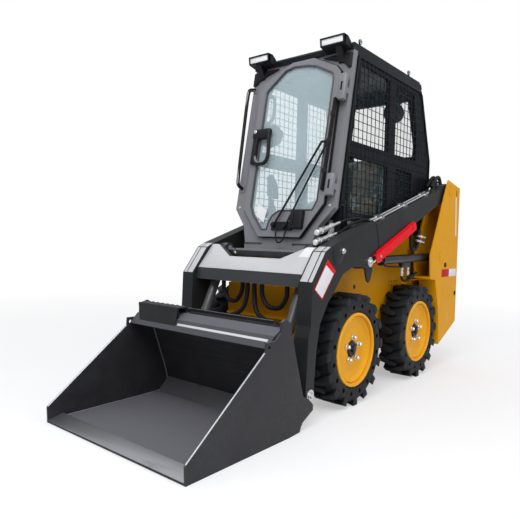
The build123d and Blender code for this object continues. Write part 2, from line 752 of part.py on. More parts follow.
with BuildPart() as lift_rods:
    cylinder_rod(ARM_MID, LIFT_FRONT, LIFT_REAR, LIFT_ROD_R, LIFT_ROD_LENGTH)
    mirror(about=Plane.YZ)
write("lift_rods", lift_rods)

with BuildPart() as tilt_barrels:
    cylinder_barrel(
        TILT_X, TILT_TOP, TILT_LOW, TILT_BARREL_R, TILT_BARREL_END, TILT_ROD_R, EYE_R + NECK + 8
    )
    cross_pin(TILT_TOP, PIN_R - 4 + PIN_FIT, TILT_X - EYE_W, TILT_X + EYE_W, mode=Mode.SUBTRACT)
    mirror(about=Plane.YZ)
write("tilt_barrels", tilt_barrels)

with BuildPart() as tilt_rods:
    cylinder_rod(TILT_X, TILT_LOW, TILT_TOP, TILT_ROD_R, TILT_ROD_LENGTH)
    mirror(about=Plane.YZ)
write("tilt_rods", tilt_rods)

# The bucket: a bent floor and back, side plates with an ear, a cutting edge and a step on top
floor_side = [
    # outer skin, from the tip back and up to the lip
    (BUCKET_TIP + 5, 0),
    (BUCKET_TIP + 677, 2),
    (BUCKET_TIP + 707, 30),
    (BUCKET_TIP + 716, 76),
    (BUCKET_TIP + 567, 478),
    (BUCKET_TIP + 541, 478),
    (BUCKET_TIP + 486, 452),
    (BUCKET_TIP + 441, 406),
    (BUCKET_TIP + 447, 400),
    (BUCKET_TIP + 490, 442),
    (BUCKET_TIP + 544, 467),
    (BUCKET_TIP + 560, 467),
    (BUCKET_TIP + 707, 76),
    (BUCKET_TIP + 697, 36),
    (BUCKET_TIP + 672, 12),
    (BUCKET_TIP + 5, 12),
]
BUCKET_IN = BUCKET_HALF - BUCKET_PLATE
with BuildPart() as bucket_shell:
    side_plate(floor_side, -BUCKET_IN, BUCKET_IN)
write("bucket_shell", bucket_shell)

cheek = [
    (BUCKET_TIP + 4, 0),
    (BUCKET_TIP, 70),
    (BUCKET_TIP + 423, 392),
    (BUCKET_TIP + 426, 433),
    (BUCKET_TIP + 488, 433),
    (BUCKET_TIP + 523, 462),
    (BUCKET_TIP + 524, 506),
    (BUCKET_TIP + 552, 515),
    (BUCKET_TIP + 587, 498),
    (BUCKET_TIP + 603, 441),
    (BUCKET_TIP + 697, 159),
    (BUCKET_TIP + 740, 138),
    (BUCKET_TIP + 778, 105),
    (BUCKET_TIP + 779, 80),
    (BUCKET_TIP + 693, 39),
    (BUCKET_TIP + 677, 5),
    (BUCKET_TIP + 600, 0),
]
with BuildPart() as bucket_cheeks:
    side_plate(cheek, BUCKET_IN, BUCKET_HALF)
    cross_pin((BUCKET_TIP + 445, 411), 9, BUCKET_IN - 1, BUCKET_HALF + 1, mode=Mode.SUBTRACT)
    mirror(about=Plane.YZ)
write("bucket_cheeks", bucket_cheeks)

EDGE_DEEP = 78.0
EDGE_T = 16.0
with BuildPart() as cutting_edge:
    edge_side = [
        (BUCKET_TIP, 12),
        (BUCKET_TIP + EDGE_DEEP, 12 + EDGE_T),
        (BUCKET_TIP + EDGE_DEEP, 12),
    ]
    side_plate(edge_side, -BUCKET_IN, BUCKET_IN)
write("cutting_edge", cutting_edge)

# The channel-shaped step welded on the bucket's top
def lip_z(y):
    # The height of the lip's sloping skin, y from the bucket's tip
    return floor_side[6][1] + (y - 486) * 26 / 55


with BuildPart() as bucket_step:
    step_side = [
        (BUCKET_TIP + 490, lip_z(490)),
        (BUCKET_TIP + 490, 508),
        (BUCKET_TIP + 552, 508),
        (BUCKET_TIP + 552, 478),
        (BUCKET_TIP + 546, 478),
        (BUCKET_TIP + 546, 502),
        (BUCKET_TIP + 496, 502),
        (BUCKET_TIP + 496, lip_z(496)),
    ]
    side_plate(step_side, -440, -140)
write("bucket_step", bucket_step)

# The carrier behind the bucket: a leaning plate, its lugs on the bucket pins and the tilt rods' clevises
BACK_SLOPE = (floor_side[4][0] - floor_side[3][0]) / (floor_side[4][1] - floor_side[3][1])


def bucket_back_y(z, depth=0.0):
    return floor_side[3][0] + BACK_SLOPE * (z - floor_side[3][1]) + depth


CARRIER_LOW = 96.0
CARRIER_BEND = 440.0
CARRIER_BAR_Y = -700.0
CARRIER_BAR_TOP = 490.0
with BuildPart() as carrier:
    carrier_side = [
        (bucket_back_y(CARRIER_LOW), CARRIER_LOW),
        (bucket_back_y(CARRIER_BEND), CARRIER_BEND),
        (CARRIER_BAR_Y, CARRIER_BEND + 6),
        (CARRIER_BAR_Y, CARRIER_BAR_TOP),
        (CARRIER_BAR_Y + CARRIER_T, CARRIER_BAR_TOP),
        (CARRIER_BAR_Y + CARRIER_T, CARRIER_BEND - CARRIER_T),
        (bucket_back_y(CARRIER_BEND - CARRIER_T, CARRIER_T), CARRIER_BEND - CARRIER_T),
        (bucket_back_y(CARRIER_LOW, CARRIER_T), CARRIER_LOW),
    ]
    side_plate(carrier_side, -CARRIER_HALF, CARRIER_HALF)
    lug_side = [
        (bucket_back_y(CARRIER_LOW, CARRIER_T / 2), CARRIER_LOW),
        (BUCKET_PIN[0] + 22, BUCKET_PIN[1] - 26),
        (BUCKET_PIN[0] + 32, BUCKET_PIN[1]),
        (BUCKET_PIN[0] + 22, BUCKET_PIN[1] + 26),
        (bucket_back_y(BUCKET_PIN[1] + 130, CARRIER_T / 2), BUCKET_PIN[1] + 130),
    ]
    clevis_side = [
        (TILT_LOW[0] + 18, TILT_LOW[1] - 24),
        (TILT_LOW[0] + 28, TILT_LOW[1] + 2),
        (TILT_LOW[0] + 14, TILT_LOW[1] + 26),
        (bucket_back_y(TILT_LOW[1] + 60, CARRIER_T / 2), TILT_LOW[1] + 60),
        (bucket_back_y(TILT_LOW[1] - 50, CARRIER_T / 2), TILT_LOW[1] - 50),
    ]
    for side in SIDES.values():
        lug_in, lug_out = sorted((side * (CARRIER_HALF - 20), side * CARRIER_HALF))
        side_plate(lug_side, lug_in, lug_out)
        cross_pin(BUCKET_PIN, PIN_R + PIN_FIT, lug_in - 1, lug_out + 1, mode=Mode.SUBTRACT)
        for inner in (BRACKET_IN, TILT_X + EYE_SLOT):
            x_low = inner if side > 0 else -inner - BRACKET_T
            side_plate(clevis_side, x_low, x_low + BRACKET_T)
write("carrier", carrier)

# The cab: a front frame, two sides, a roof, a rear wall and a floor, all around a hollow
DOOR_OPENING_IN = 16.0
front_outline = [
    (-CAB_HALF, CAB_TOP + 20),
    (CAB_HALF, CAB_TOP + 20),
    (CAB_HALF, 1020),
    (256, 923),
    (230, 834),
    (229, NOSE_TOP - 20),
    (-229, NOSE_TOP - 20),
    (-230, 834),
    (-256, 923),
    (-CAB_HALF, 1020),
]
door_outline = [
    # x, z: the door's outer edge
    (-0.865 * DOOR_HALF, DOOR_TOP - 144),
    (-0.76 * DOOR_HALF, DOOR_TOP - 91),
    (-0.47 * DOOR_HALF, DOOR_TOP - 47),
    (-0.14 * DOOR_HALF, DOOR_TOP - 3),
    (0.365 * DOOR_HALF, DOOR_TOP - 4),
    (0.9 * DOOR_HALF, DOOR_TOP - 79),
    (DOOR_HALF, DOOR_TOP - 112),
    (DOOR_HALF, DOOR_BOTTOM + 178),
    (0.57 * DOOR_HALF, DOOR_BOTTOM),
    (-0.4 * DOOR_HALF, DOOR_BOTTOM),
    (-0.85 * DOOR_HALF, DOOR_BOTTOM + 150),
]
DOOR_PANEL_TOP = DOOR_BOTTOM + 140   # of the steel panel beside the window's lower lobe
glass_outline = [
    # x, z: the window in the door
    (-0.7 * DOOR_HALF, DOOR_TOP - 149),
    (-0.48 * DOOR_HALF, DOOR_TOP - 91),
    (-0.28 * DOOR_HALF, DOOR_TOP - 40),
    (-0.07 * DOOR_HALF, DOOR_TOP - 27),
    (0.26 * DOOR_HALF, DOOR_TOP - 37),
    (0.46 * DOOR_HALF, DOOR_TOP - 53),
    (0.84 * DOOR_HALF, DOOR_TOP - 112),
    (0.87 * DOOR_HALF, DOOR_TOP - 150),
    (0.86 * DOOR_HALF, DOOR_BOTTOM + 190),
    (0.78 * DOOR_HALF, DOOR_PANEL_TOP),
    (0.04 * DOOR_HALF, DOOR_PANEL_TOP),
    (-0.1 * DOOR_HALF, DOOR_PANEL_TOP - 26),
    (-0.17 * DOOR_HALF, DOOR_PANEL_TOP - 60),
    (-0.2 * DOOR_HALF, DOOR_PANEL_TOP - 104),
    (-0.34 * DOOR_HALF, DOOR_PANEL_TOP - 104),
    (-0.6 * DOOR_HALF, DOOR_PANEL_TOP - 20),
    (-0.69 * DOOR_HALF, DOOR_PANEL_TOP + 34),
]


def grown(points, by):
    # The outline moved outward, or inward when by is negative
    with BuildSketch(Plane.XY) as sketch:
        with BuildLine():
            Polyline(*points, close=True)
        make_face()
        offset(amount=by, kind=Kind.INTERSECTION)
    loop = sketch.sketch.faces()[0].outer_wire()
    return [(v.X, v.Y) for v in [e.start_point() for e in loop.order_edges()]]


SLOT_DEEP = 12.0
RAIL_R = 9.5               # grab rail beside the door
with BuildPart() as cab_front:
    extrude(face(cab_plane(CAB_FRONT_T), on_cab(front_outline)), amount=CAB_FRONT_T)
    opening = face(cab_plane(CAB_FRONT_T + 1), grown(on_cab(door_outline), -DOOR_OPENING_IN))
    extrude(opening, amount=CAB_FRONT_T + 2, mode=Mode.SUBTRACT)
    block((-CAB_HALF, CAB_HALF), (-400, 200), (CAB_TOP, CAB_TOP + 100), mode=Mode.SUBTRACT)
    block((-CAB_HALF, CAB_HALF), (-400, 200), (NOSE_TOP - 100, NOSE_TOP), mode=Mode.SUBTRACT)
    for side in SIDES.values():
        slot = on_cab(rectangle((side * 165 - 62, 816), (side * 165 + 62, 829)))
        extrude(face(cab_plane(SLOT_DEEP), slot), amount=SLOT_DEEP + 1, mode=Mode.SUBTRACT)
    tube(
        [up_cab(-316, 4, 1744), up_cab(-336, -45, 1728), up_cab(-312, -45, 1152), up_cab(-303, 4, 1138)],
        RAIL_R,
    )
write("cab_front", cab_front)

# The stepped-in lower corners beside the door, open in front for the hose couplings
CORNER_T = 6.0
CORNER_TOP = 1020.0
corner_line = [(229, FLOOR_Z + FLOOR_T), (230, 834), (256, 923), (CAB_HALF, CORNER_TOP)]
with BuildPart() as cab_corners:
    skin = corner_line + [(x - CORNER_T, z + CORNER_T / 2) for x, z in reversed(corner_line[1:])]
    skin = skin + [(229 - CORNER_T, FLOOR_Z + FLOOR_T)]
    front_plate(skin, -260, CORNER_BACK)
    foot_line = [(CAB_HALF, SILL_Z - SILL_T), (HULL_HALF, SILL_Z - SILL_T), (HULL_HALF, FLOOR_Z + FLOOR_T)]
    front_plate(corner_line + foot_line, CORNER_BACK - CORNER_T, CORNER_BACK)
    ahead = [(-400, FLOOR_Z - 10), (cab_front_y(FLOOR_Z - 10, CAB_FRONT_T), FLOOR_Z - 10)]
    ahead = ahead + [(cab_front_y(1100, CAB_FRONT_T), 1100), (-400, 1100)]
    side_plate(ahead, 0, CAB_HALF + 1, mode=Mode.SUBTRACT)
    block((0, CAB_HALF), (HULL_FRONT, NOSE_BACK), (DECK_Z, NOSE_TOP), mode=Mode.SUBTRACT)
    mirror(about=Plane.YZ)
write("cab_corners", cab_corners)

# Side walls with three windows; the front edge meets the front frame
BELT_HIGH = CAB_TOP - 486
BELT_LOW = BELT_HIGH - 70
WINDOW_TOP = CAB_TOP - 50
REAR_KNEE = CAB_TOP - 454   # where the cab's back starts to lean forward
REAR_SHOULDER = (851.0, CAB_TOP - 12)
PILLAR_FRONT = 390.0
PILLAR_BACK = 465.0
WINDOW_FRONT_IN = 44.0
SIDE_WINDOWS = {
    "upper": [
        (cab_front_y(BELT_HIGH, CAB_FRONT_T + WINDOW_FRONT_IN), BELT_HIGH),
        (cab_front_y(WINDOW_TOP, CAB_FRONT_T + WINDOW_FRONT_IN), WINDOW_TOP),
        (PILLAR_FRONT, WINDOW_TOP),
        (PILLAR_FRONT, BELT_HIGH),
    ],
    "lower": [
        (cab_front_y(990, CAB_FRONT_T + WINDOW_FRONT_IN), 990),
        (cab_front_y(BELT_LOW, CAB_FRONT_T + WINDOW_FRONT_IN), BELT_LOW),
        (PILLAR_FRONT, BELT_LOW),
        (PILLAR_FRONT, 910),
        (-50, 910),
    ],
    "rear": [
        (PILLAR_BACK, BELT_HIGH),
        (PILLAR_BACK, WINDOW_TOP - 12),
        (740, WINDOW_TOP - 12),
        (805, BELT_HIGH + 104),
        (790, BELT_HIGH),
    ],
    "rear_lower": [
        (PILLAR_BACK + 25, BELT_LOW),
        (735, BELT_LOW),
        (735, 1030),
        (680, 945),
        (PILLAR_BACK + 25, 945),
    ],
}
SIDE_SILL = CORNER_TOP + CORNER_T / 2
cab_side_outline = [
    (cab_front_y(SIDE_SILL, CAB_FRONT_T), SIDE_SILL),
    (cab_front_y(CAB_TOP, CAB_FRONT_T), CAB_TOP),
    (823, CAB_TOP),
    REAR_SHOULDER,
    (CAB_BACK, REAR_KNEE),
    (CAB_BACK, 1180),
    (800, 950),
    (CAB_SILL_BACK, SILL_Z),
    (CORNER_BACK, SILL_Z),
    (CORNER_BACK, SIDE_SILL),
]
for name, side in SIDES.items():
    with BuildPart() as cab_side:
        side_plate(cab_side_outline, CAB_HALF - CAB_WALL, CAB_HALF)
        for window in SIDE_WINDOWS.values():
            side_plate(window, CAB_HALF - CAB_WALL - 1, CAB_HALF + 1, radius=28, mode=Mode.SUBTRACT)
        if side < 0:
            mirror(about=Plane.YZ, mode=Mode.REPLACE)
    write(f"cab_side_{name}", cab_side)

with BuildPart() as side_glass:
    for window in SIDE_WINDOWS.values():
        pane = offset(
            face(Plane.YZ.offset(CAB_HALF - CAB_WALL / 2), window, 28),
            amount=-GLASS_GAP,
            mode=Mode.PRIVATE,
        )
        extrude(pane, amount=GLASS_T)
    mirror(about=Plane.YZ)
write("side_glass", side_glass)

# Lifting eyes along the roof's edges
ROOF_EYE_R = 15.0
ROOF_EYE_HOLE = 9.0
ROOF_EYE_W = 8.0
ROOF_EYE_STEM = 3.2        # radius
ROOF_EYE_UP = 26.0         # from the roof to the ring's middle
ROOF_EYE_X = CAB_HALF - 13
eye_spots = [(side * ROOF_EYE_X, y) for side in SIDES.values() for y in (31, 665)]
with BuildPart() as cab_roof:
    roof_side = [
        (cab_front_y(CAB_TOP) - 12, CAB_TOP),
        (cab_front_y(CAB_TOP) - 12, CAB_TOP + ROOF_T - 12),
        (cab_front_y(CAB_TOP), CAB_TOP + ROOF_T),
        (800, CAB_TOP + ROOF_T),
        (840, CAB_TOP + ROOF_T - 14),
        (REAR_SHOULDER[0], CAB_TOP),
    ]
    side_plate(roof_side, -CAB_HALF, CAB_HALF)
    for x, y in eye_spots:
        ring = (y, CAB_TOP + ROOF_T + ROOF_EYE_UP)
        cross_pin(ring, ROOF_EYE_R, x - ROOF_EYE_W / 2, x + ROOF_EYE_W / 2)
        cross_pin(ring, ROOF_EYE_HOLE, x - ROOF_EYE_W, x + ROOF_EYE_W, mode=Mode.SUBTRACT)
        rod((x, y, CAB_TOP + ROOF_T - 1), (x, y, ring[1] - ROOF_EYE_HOLE - 2), ROOF_EYE_STEM)
write("cab_roof", cab_roof)

REAR_IN = CAB_HALF - CAB_WALL
REAR_WALL_T = 24.0
rear_wall_side = [
    (800, CAB_TOP),
    (823, CAB_TOP),
    REAR_SHOULDER,
    (CAB_BACK, REAR_KNEE),
    (CAB_BACK, 1180),
    (800, 950),
    (760, FLOOR_Z + FLOOR_T),
    (760 - REAR_WALL_T, FLOOR_Z + FLOOR_T),
    (778 - REAR_WALL_T / 2, 960),
    (CAB_BACK - REAR_WALL_T, 1190),
    (CAB_BACK - REAR_WALL_T, REAR_KNEE - 4),
    (829, CAB_TOP - 20),
]
REAR_WINDOW_HALF = 240.0
REAR_WINDOW_LOW = REAR_KNEE + 42
REAR_WINDOW_TOP = CAB_TOP - 62
with BuildPart() as cab_rear:
    side_plate(rear_wall_side, -REAR_IN, REAR_IN)
    for side in SIDES.values():
        block(sorted((side * BAY_IN, side * CAB_HALF)), (700, 900), (FLOOR_Z, SILL_Z), mode=Mode.SUBTRACT)
    block(
        (-REAR_WINDOW_HALF, REAR_WINDOW_HALF),
        (700, 1200),
        (REAR_WINDOW_LOW, REAR_WINDOW_TOP),
        mode=Mode.SUBTRACT,
    )
write("cab_rear", cab_rear)

with BuildPart() as rear_glass:
    slope = (REAR_SHOULDER[0] - CAB_BACK) / (REAR_SHOULDER[1] - REAR_KNEE)
    pane_z = (REAR_WINDOW_LOW + GLASS_GAP, REAR_WINDOW_TOP - GLASS_GAP)
    pane_y = [CAB_BACK + slope * (z - REAR_KNEE) - REAR_WALL_T / 2 for z in pane_z]
    pane_side = [
        (pane_y[0], pane_z[0]),
        (pane_y[1], pane_z[1]),
        (pane_y[1] - GLASS_T, pane_z[1]),
        (pane_y[0] - GLASS_T, pane_z[0]),
    ]
    side_plate(pane_side, -REAR_WINDOW_HALF + GLASS_GAP, REAR_WINDOW_HALF - GLASS_GAP)
write("rear_glass", rear_glass)

with BuildPart() as cab_floor:
    block((-BAY_IN, BAY_IN), (NOSE_BACK, 760), (FLOOR_Z, FLOOR_Z + FLOOR_T))
write("cab_floor", cab_floor)

# The front door, its glass, handle and wiper, hung on two hinges at its left edge
DOOR_FRAME_DEPTH = -DOOR_GAP
DOOR_FACE = -(DOOR_GAP + DOOR_T)
HANDLE_R = 8.0
HANDLE_DEPTH = -48.0
hinge_heights = [DOOR_TOP - 219, DOOR_BOTTOM + 266]
HINGE_H = 100.0
hinge_axis_depth = DOOR_FACE


with BuildPart() as door_frame:
    extrude(face(cab_plane(DOOR_FRAME_DEPTH), on_cab(door_outline)), amount=DOOR_T)
    extrude(
        face(cab_plane(DOOR_FRAME_DEPTH + 1), on_cab(glass_outline)),
        amount=DOOR_T + 2,
        mode=Mode.SUBTRACT,
    )
    for z in hinge_heights:
        for low, high in ((-HINGE_H / 2, -HINGE_H / 6), (HINGE_H / 6, HINGE_H / 2)):
            start = up_cab(DOOR_HINGE_X, hinge_axis_depth, z + low)
            stop = up_cab(DOOR_HINGE_X, hinge_axis_depth, z + high)
            rod(start, stop, DOOR_PIN_R + 6)
            leaf = on_cab(rectangle((DOOR_HALF - 30, z + low), (DOOR_HINGE_X, z + high)))
            extrude(face(cab_plane(DOOR_FACE + 6), leaf), amount=6)
            rod(start, stop, DOOR_PIN_R + PIN_FIT, mode=Mode.SUBTRACT)
    boss = on_cab(rectangle((-224, 1418), (-118, 1462)))
    extrude(face(cab_plane(DOOR_FACE), boss), amount=28)
    grip = [
        # x, z down one leg of the handle and up the other
        (-206, 1430),
        (-214, 1318),
        (-190, 1274),
        (-132, 1270),
        (-112, 1306),
        (-126, 1430),
    ]
    tube([up_cab(x, HANDLE_DEPTH, z) for x, z in grip], HANDLE_R)
    rod(up_cab(-213, DOOR_FACE + 2, 1325), up_cab(-213, HANDLE_DEPTH, 1325), HANDLE_R - 1)
write("door_frame", door_frame)

# The wiper: a motor housing on the steel panel, two arms with their link, and a blade parked beside the glass
WIPER_DEPTH = -48.0
WIPER_PIVOTS = ((0, 918), (76, 908))
WIPER_LINK = ((240, 1356), (282, 1352))
with BuildPart() as wiper:
    for low, high, deep in (((112, 902), (182, 994), 30), ((-18, 892), (114, 936), 14)):
        extrude(face(cab_plane(DOOR_FACE), on_cab(rectangle(low, high))), amount=deep)
    for pivot, end, radius in zip(WIPER_PIVOTS, (WIPER_LINK[0], (274, 1351)), (6, 5)):
        x, z = pivot
        rod(up_cab(x, WIPER_DEPTH, z), up_cab(end[0], WIPER_DEPTH, end[1]), radius)
        rod(up_cab(x, DOOR_FACE - 10, z), up_cab(x, WIPER_DEPTH - 8, z), 12)
    link_start, link_end = [up_cab(x, WIPER_DEPTH, z) for x, z in WIPER_LINK]
    rod(link_start, link_end, 6)
    blade = on_cab([(268, 1100), (282, 1100), (293, 1586), (279, 1586)])
    extrude(face(cab_plane(DOOR_FACE - 3), blade), amount=18)
write("wiper", wiper)

with BuildPart() as door_glass:
    pane = offset(
        face(cab_plane(DOOR_FRAME_DEPTH - 8), on_cab(glass_outline)),
        amount=-GLASS_GAP,
        mode=Mode.PRIVATE,
    )
    extrude(pane, amount=GLASS_T)
write("door_glass", door_glass)

with BuildPart() as door_hinges:
    for z in hinge_heights:
        start = up_cab(DOOR_HINGE_X, hinge_axis_depth, z - HINGE_H / 2)
        stop = up_cab(DOOR_HINGE_X, hinge_axis_depth, z + HINGE_H / 2)
        knuckle_low = up_cab(DOOR_HINGE_X, hinge_axis_depth, z - HINGE_H / 6 + SIDE_GAP)
        knuckle_high = up_cab(DOOR_HINGE_X, hinge_axis_depth, z + HINGE_H / 6 - SIDE_GAP)
        rod(start, stop, DOOR_PIN_R)
        rod(knuckle_low, knuckle_high, DOOR_PIN_R + 6)
        foot = on_cab(rectangle((DOOR_HINGE_X - 6, z - HINGE_H / 6 + 1), (CAB_HALF, z + HINGE_H / 6 - 1)))
        extrude(face(cab_plane(0), foot), amount=-hinge_axis_depth)
write("door_hinges", door_hinges)

SEAT_HALF = 225.0
SEAT_FRONT = 330.0
SEAT_BACK = 690.0
SEAT_Z = 830.0
CUSHION_T = 100.0
BACK_TOP = 1420.0
with BuildPart() as seat:
    cushion_top = SEAT_Z + CUSHION_T
    block((-SEAT_HALF, SEAT_HALF), (SEAT_FRONT, SEAT_BACK), (SEAT_Z, cushion_top))
    back_side = [
        (SEAT_BACK - 50, cushion_top),
        (SEAT_BACK + 10, cushion_top),
        (SEAT_BACK + 80, BACK_TOP),
        (SEAT_BACK + 10, BACK_TOP),
    ]
    side_plate(back_side, -SEAT_HALF + 10, SEAT_HALF - 10)
write("seat", seat)

with BuildPart() as seat_base:
    block((-SEAT_HALF - 15, SEAT_HALF + 15), (SEAT_FRONT, SEAT_BACK + 30), (FLOOR_Z + FLOOR_T, SEAT_Z))
write("seat_base", seat_base)

# Side consoles with a lever each, and the display on the right front pillar
CONSOLE_IN = SEAT_HALF + 15
CONSOLE_OUT = 298.0
CONSOLE_TOP = 1010.0
CONSOLE_BOTTOM = SILL_Z + 8
FOOT_W = 16.0              # of the web that carries each console
LEVER_Y = 35.0
LEVER_TOP = 1235.0
GRIP_L = 117.0
STALK_R = 12.0
GRIP_R = 21.0
DISPLAY_IN = 190.0         # from the middle to the display's inner edge
with BuildPart() as controls:
    for side in SIDES.values():
        span = sorted((side * CONSOLE_IN, side * CONSOLE_OUT))
        console_side = [
            (SEAT_FRONT + 230, CONSOLE_BOTTOM),
            (SEAT_FRONT + 230, CONSOLE_TOP - 20),
            (LEVER_Y + 60, CONSOLE_TOP),
            (LEVER_Y - 40, CONSOLE_TOP),
            (LEVER_Y - 40, CONSOLE_TOP - 25),
            (SEAT_FRONT, CONSOLE_TOP - 70),
            (SEAT_FRONT + 40, CONSOLE_BOTTOM),
        ]
        side_plate(console_side, *span)
        foot_span = sorted((side * CONSOLE_IN, side * (CONSOLE_IN + FOOT_W)))
        block(foot_span, (SEAT_FRONT + 70, SEAT_FRONT + 190), (SEAT_Z - 50, CONSOLE_BOTTOM))
        middle = sum(span) / 2
        grip = (middle + side * 4, LEVER_Y, LEVER_TOP - GRIP_L)
        rod((middle, LEVER_Y, CONSOLE_TOP - 5), (grip[0], LEVER_Y, grip[2] + 2), STALK_R)
        rod(grip, (middle + side * 2, LEVER_Y - 6, LEVER_TOP), GRIP_R)
    block((-REAR_IN, -DISPLAY_IN), (-66, -40), (1409, 1528))
write("controls", controls)

LAMP_IN = 176.0
LAMP_OUT = 322.0
lamp_back = cab_front_y(CAB_TOP) - 12
lamp_side = [
    # y, z: a housing that tapers back to the roof
    (lamp_back - 73, CAB_TOP + 60),
    (lamp_back - 67, CAB_TOP + 14),
    (lamp_back, CAB_TOP),
    (lamp_back, CAB_TOP + 38),
    (lamp_back - 34, CAB_TOP + 60),
]
lamp_gusset = [
    (lamp_back - 48, CAB_TOP + 10),
    (lamp_back, CAB_TOP),
    (cab_front_y(CAB_TOP), CAB_TOP),
    (cab_front_y(CAB_TOP - 67), CAB_TOP - 67),
]
with BuildPart() as work_lamps:
    side_plate(lamp_side, LAMP_IN, LAMP_OUT)
    side_plate(lamp_gusset, LAMP_IN + 77, LAMP_IN + 112)
    mirror(about=Plane.YZ)
write("work_lamps", work_lamps)

# Rear covers: a hood and a door between the towers, with a fixed bumper below
HOOD_PIN = (HOOD_FRONT + 14, HOOD_Z - COVER_T / 2 - 1.4)
COVER_GAP = 6.0
REAR_DOOR_TOP = HOOD_Z - HOOD_DROP - COVER_T - COVER_GAP
REAR_PIN = (TOWER_IN - 8, REAR_DOOR_FACE + 3)
rear_hinge_heights = [560.0, 980.0]
KNUCKLE = 30.0
VENT_HALF = 180.0
with BuildPart() as hood:
    hood_side = [
        (HOOD_FRONT, HOOD_Z - COVER_T),
        (HOOD_FRONT, HOOD_Z),
        (REAR_DOOR_FACE, HOOD_Z - HOOD_DROP),
        (REAR_DOOR_FACE, HOOD_Z - HOOD_DROP - COVER_T),
    ]
    side_plate(hood_side, -COVER_HALF, COVER_HALF)
    for step in range(6):
        vent = (HOOD_FRONT + 70 + 26 * step, HOOD_FRONT + 82 + 26 * step)
        block((-VENT_HALF, VENT_HALF), vent, (HOOD_Z - 80, HOOD_Z + 10), mode=Mode.SUBTRACT)
    for side in SIDES.values():
        cross_pin(
            HOOD_PIN,
            HINGE_PIN_R + PIN_FIT,
            side * (COVER_HALF - 16),
            side * (COVER_HALF + 1),
            mode=Mode.SUBTRACT,
        )
write("hood", hood)

with BuildPart() as rear_door:
    block(
        (-COVER_HALF, COVER_HALF),
        (REAR_DOOR_FACE - COVER_T, REAR_DOOR_FACE),
        (REAR_DOOR_LOW, REAR_DOOR_TOP),
    )
    for step in range(9):
        vent = (REAR_DOOR_TOP - 120 - 36 * step, REAR_DOOR_TOP - 100 - 36 * step)
        block((-VENT_HALF, VENT_HALF), (REAR_DOOR_FACE - 40, REAR_DOOR_FACE + 10), vent, mode=Mode.SUBTRACT)
    for z in rear_hinge_heights:
        for low in (z - 1.5 * KNUCKLE, z + KNUCKLE / 2):
            start = (*REAR_PIN, low + SIDE_GAP)
            stop = (*REAR_PIN, low + KNUCKLE - SIDE_GAP)
            rod(start, stop, HINGE_PIN_R)
            block(
                (COVER_HALF - 20, REAR_PIN[0]),
                (REAR_DOOR_FACE - 4, REAR_DOOR_FACE + 4),
                (low + SIDE_GAP, low + KNUCKLE - SIDE_GAP),
            )
            rod(start, stop, HINGE_PIN_R - 3 + PIN_FIT, mode=Mode.SUBTRACT)
write("rear_door", rear_door)

with BuildPart() as cover_hinges:
    for side in SIDES.values():
        cross_pin(HOOD_PIN, HINGE_PIN_R, side * (COVER_HALF - 15), side * TOWER_IN)
    for z in rear_hinge_heights:
        rod((*REAR_PIN, z - 1.5 * KNUCKLE), (*REAR_PIN, z + 1.5 * KNUCKLE), HINGE_PIN_R - 3)
        rod((*REAR_PIN, z - KNUCKLE / 2), (*REAR_PIN, z + KNUCKLE / 2), HINGE_PIN_R)
        block(
            (REAR_PIN[0], TOWER_IN),
            (REAR_PIN[1] - 5, REAR_PIN[1] + 5),
            (z - KNUCKLE / 2, z + KNUCKLE / 2),
        )
write("cover_hinges", cover_hinges)

with BuildPart() as rear_bumper:
    block((-HULL_HALF, HULL_HALF), (HULL_REAR, TOWER_BACK), (TOWER_FOOT + 128, REAR_DOOR_LOW - 8))
write("rear_bumper", rear_bumper)
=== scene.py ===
import bpy
from math import cos, hypot, pi, radians, sin
from mathutils import Matrix, Vector


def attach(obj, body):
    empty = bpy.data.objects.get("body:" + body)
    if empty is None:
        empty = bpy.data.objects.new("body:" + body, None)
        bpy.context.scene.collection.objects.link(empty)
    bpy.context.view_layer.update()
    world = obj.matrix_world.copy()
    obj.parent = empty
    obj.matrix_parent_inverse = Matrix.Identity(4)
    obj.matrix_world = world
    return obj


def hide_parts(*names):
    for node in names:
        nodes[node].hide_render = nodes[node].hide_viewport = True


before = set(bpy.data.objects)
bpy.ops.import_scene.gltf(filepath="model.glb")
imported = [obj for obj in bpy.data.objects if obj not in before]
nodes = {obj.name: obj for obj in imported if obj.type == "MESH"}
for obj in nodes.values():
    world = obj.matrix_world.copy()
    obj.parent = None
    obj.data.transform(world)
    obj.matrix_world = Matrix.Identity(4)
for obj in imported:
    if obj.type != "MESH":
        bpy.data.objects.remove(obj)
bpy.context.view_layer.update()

view = {
    "place": (1.7364, -2.5095, 0.8445),
    "forward": (-0.63246, 0.77367, -0.03779),
    "lens": 36.10,
    "roll": 1.456,           # the right side is raised, degrees
    "reach": 200,
}


def placeCamera():
    forward = Vector(view["forward"]).normalized()
    level = forward.cross(Vector((0, 0, 1))).normalized()
    up = level.cross(forward)
    roll = radians(view["roll"])
    right = level * cos(roll) + up * sin(roll)
    up = right.cross(forward)
    camData = bpy.data.cameras.new("loaderCamera")
    camData.lens = view["lens"]
    camData.sensor_width = 36
    camData.clip_end = view["reach"]
    cam = bpy.data.objects.new("loaderCamera", camData)
    turn = Matrix((right, up, -forward)).transposed().to_4x4()
    cam.matrix_world = Matrix.Translation(view["place"]) @ turn
    bpy.context.scene.collection.objects.link(cam)
    bpy.context.scene.camera = cam


placeCamera()
print("camera placed")


def clearSelection():
    if bpy.context.object and bpy.context.object.mode != "OBJECT":
        bpy.ops.object.mode_set(mode="OBJECT")
    bpy.ops.object.select_all(action="DESELECT")


def selectOnly(piece):
    clearSelection()
    piece.select_set(True)
    bpy.context.view_layer.objects.active = piece


clearSelection()


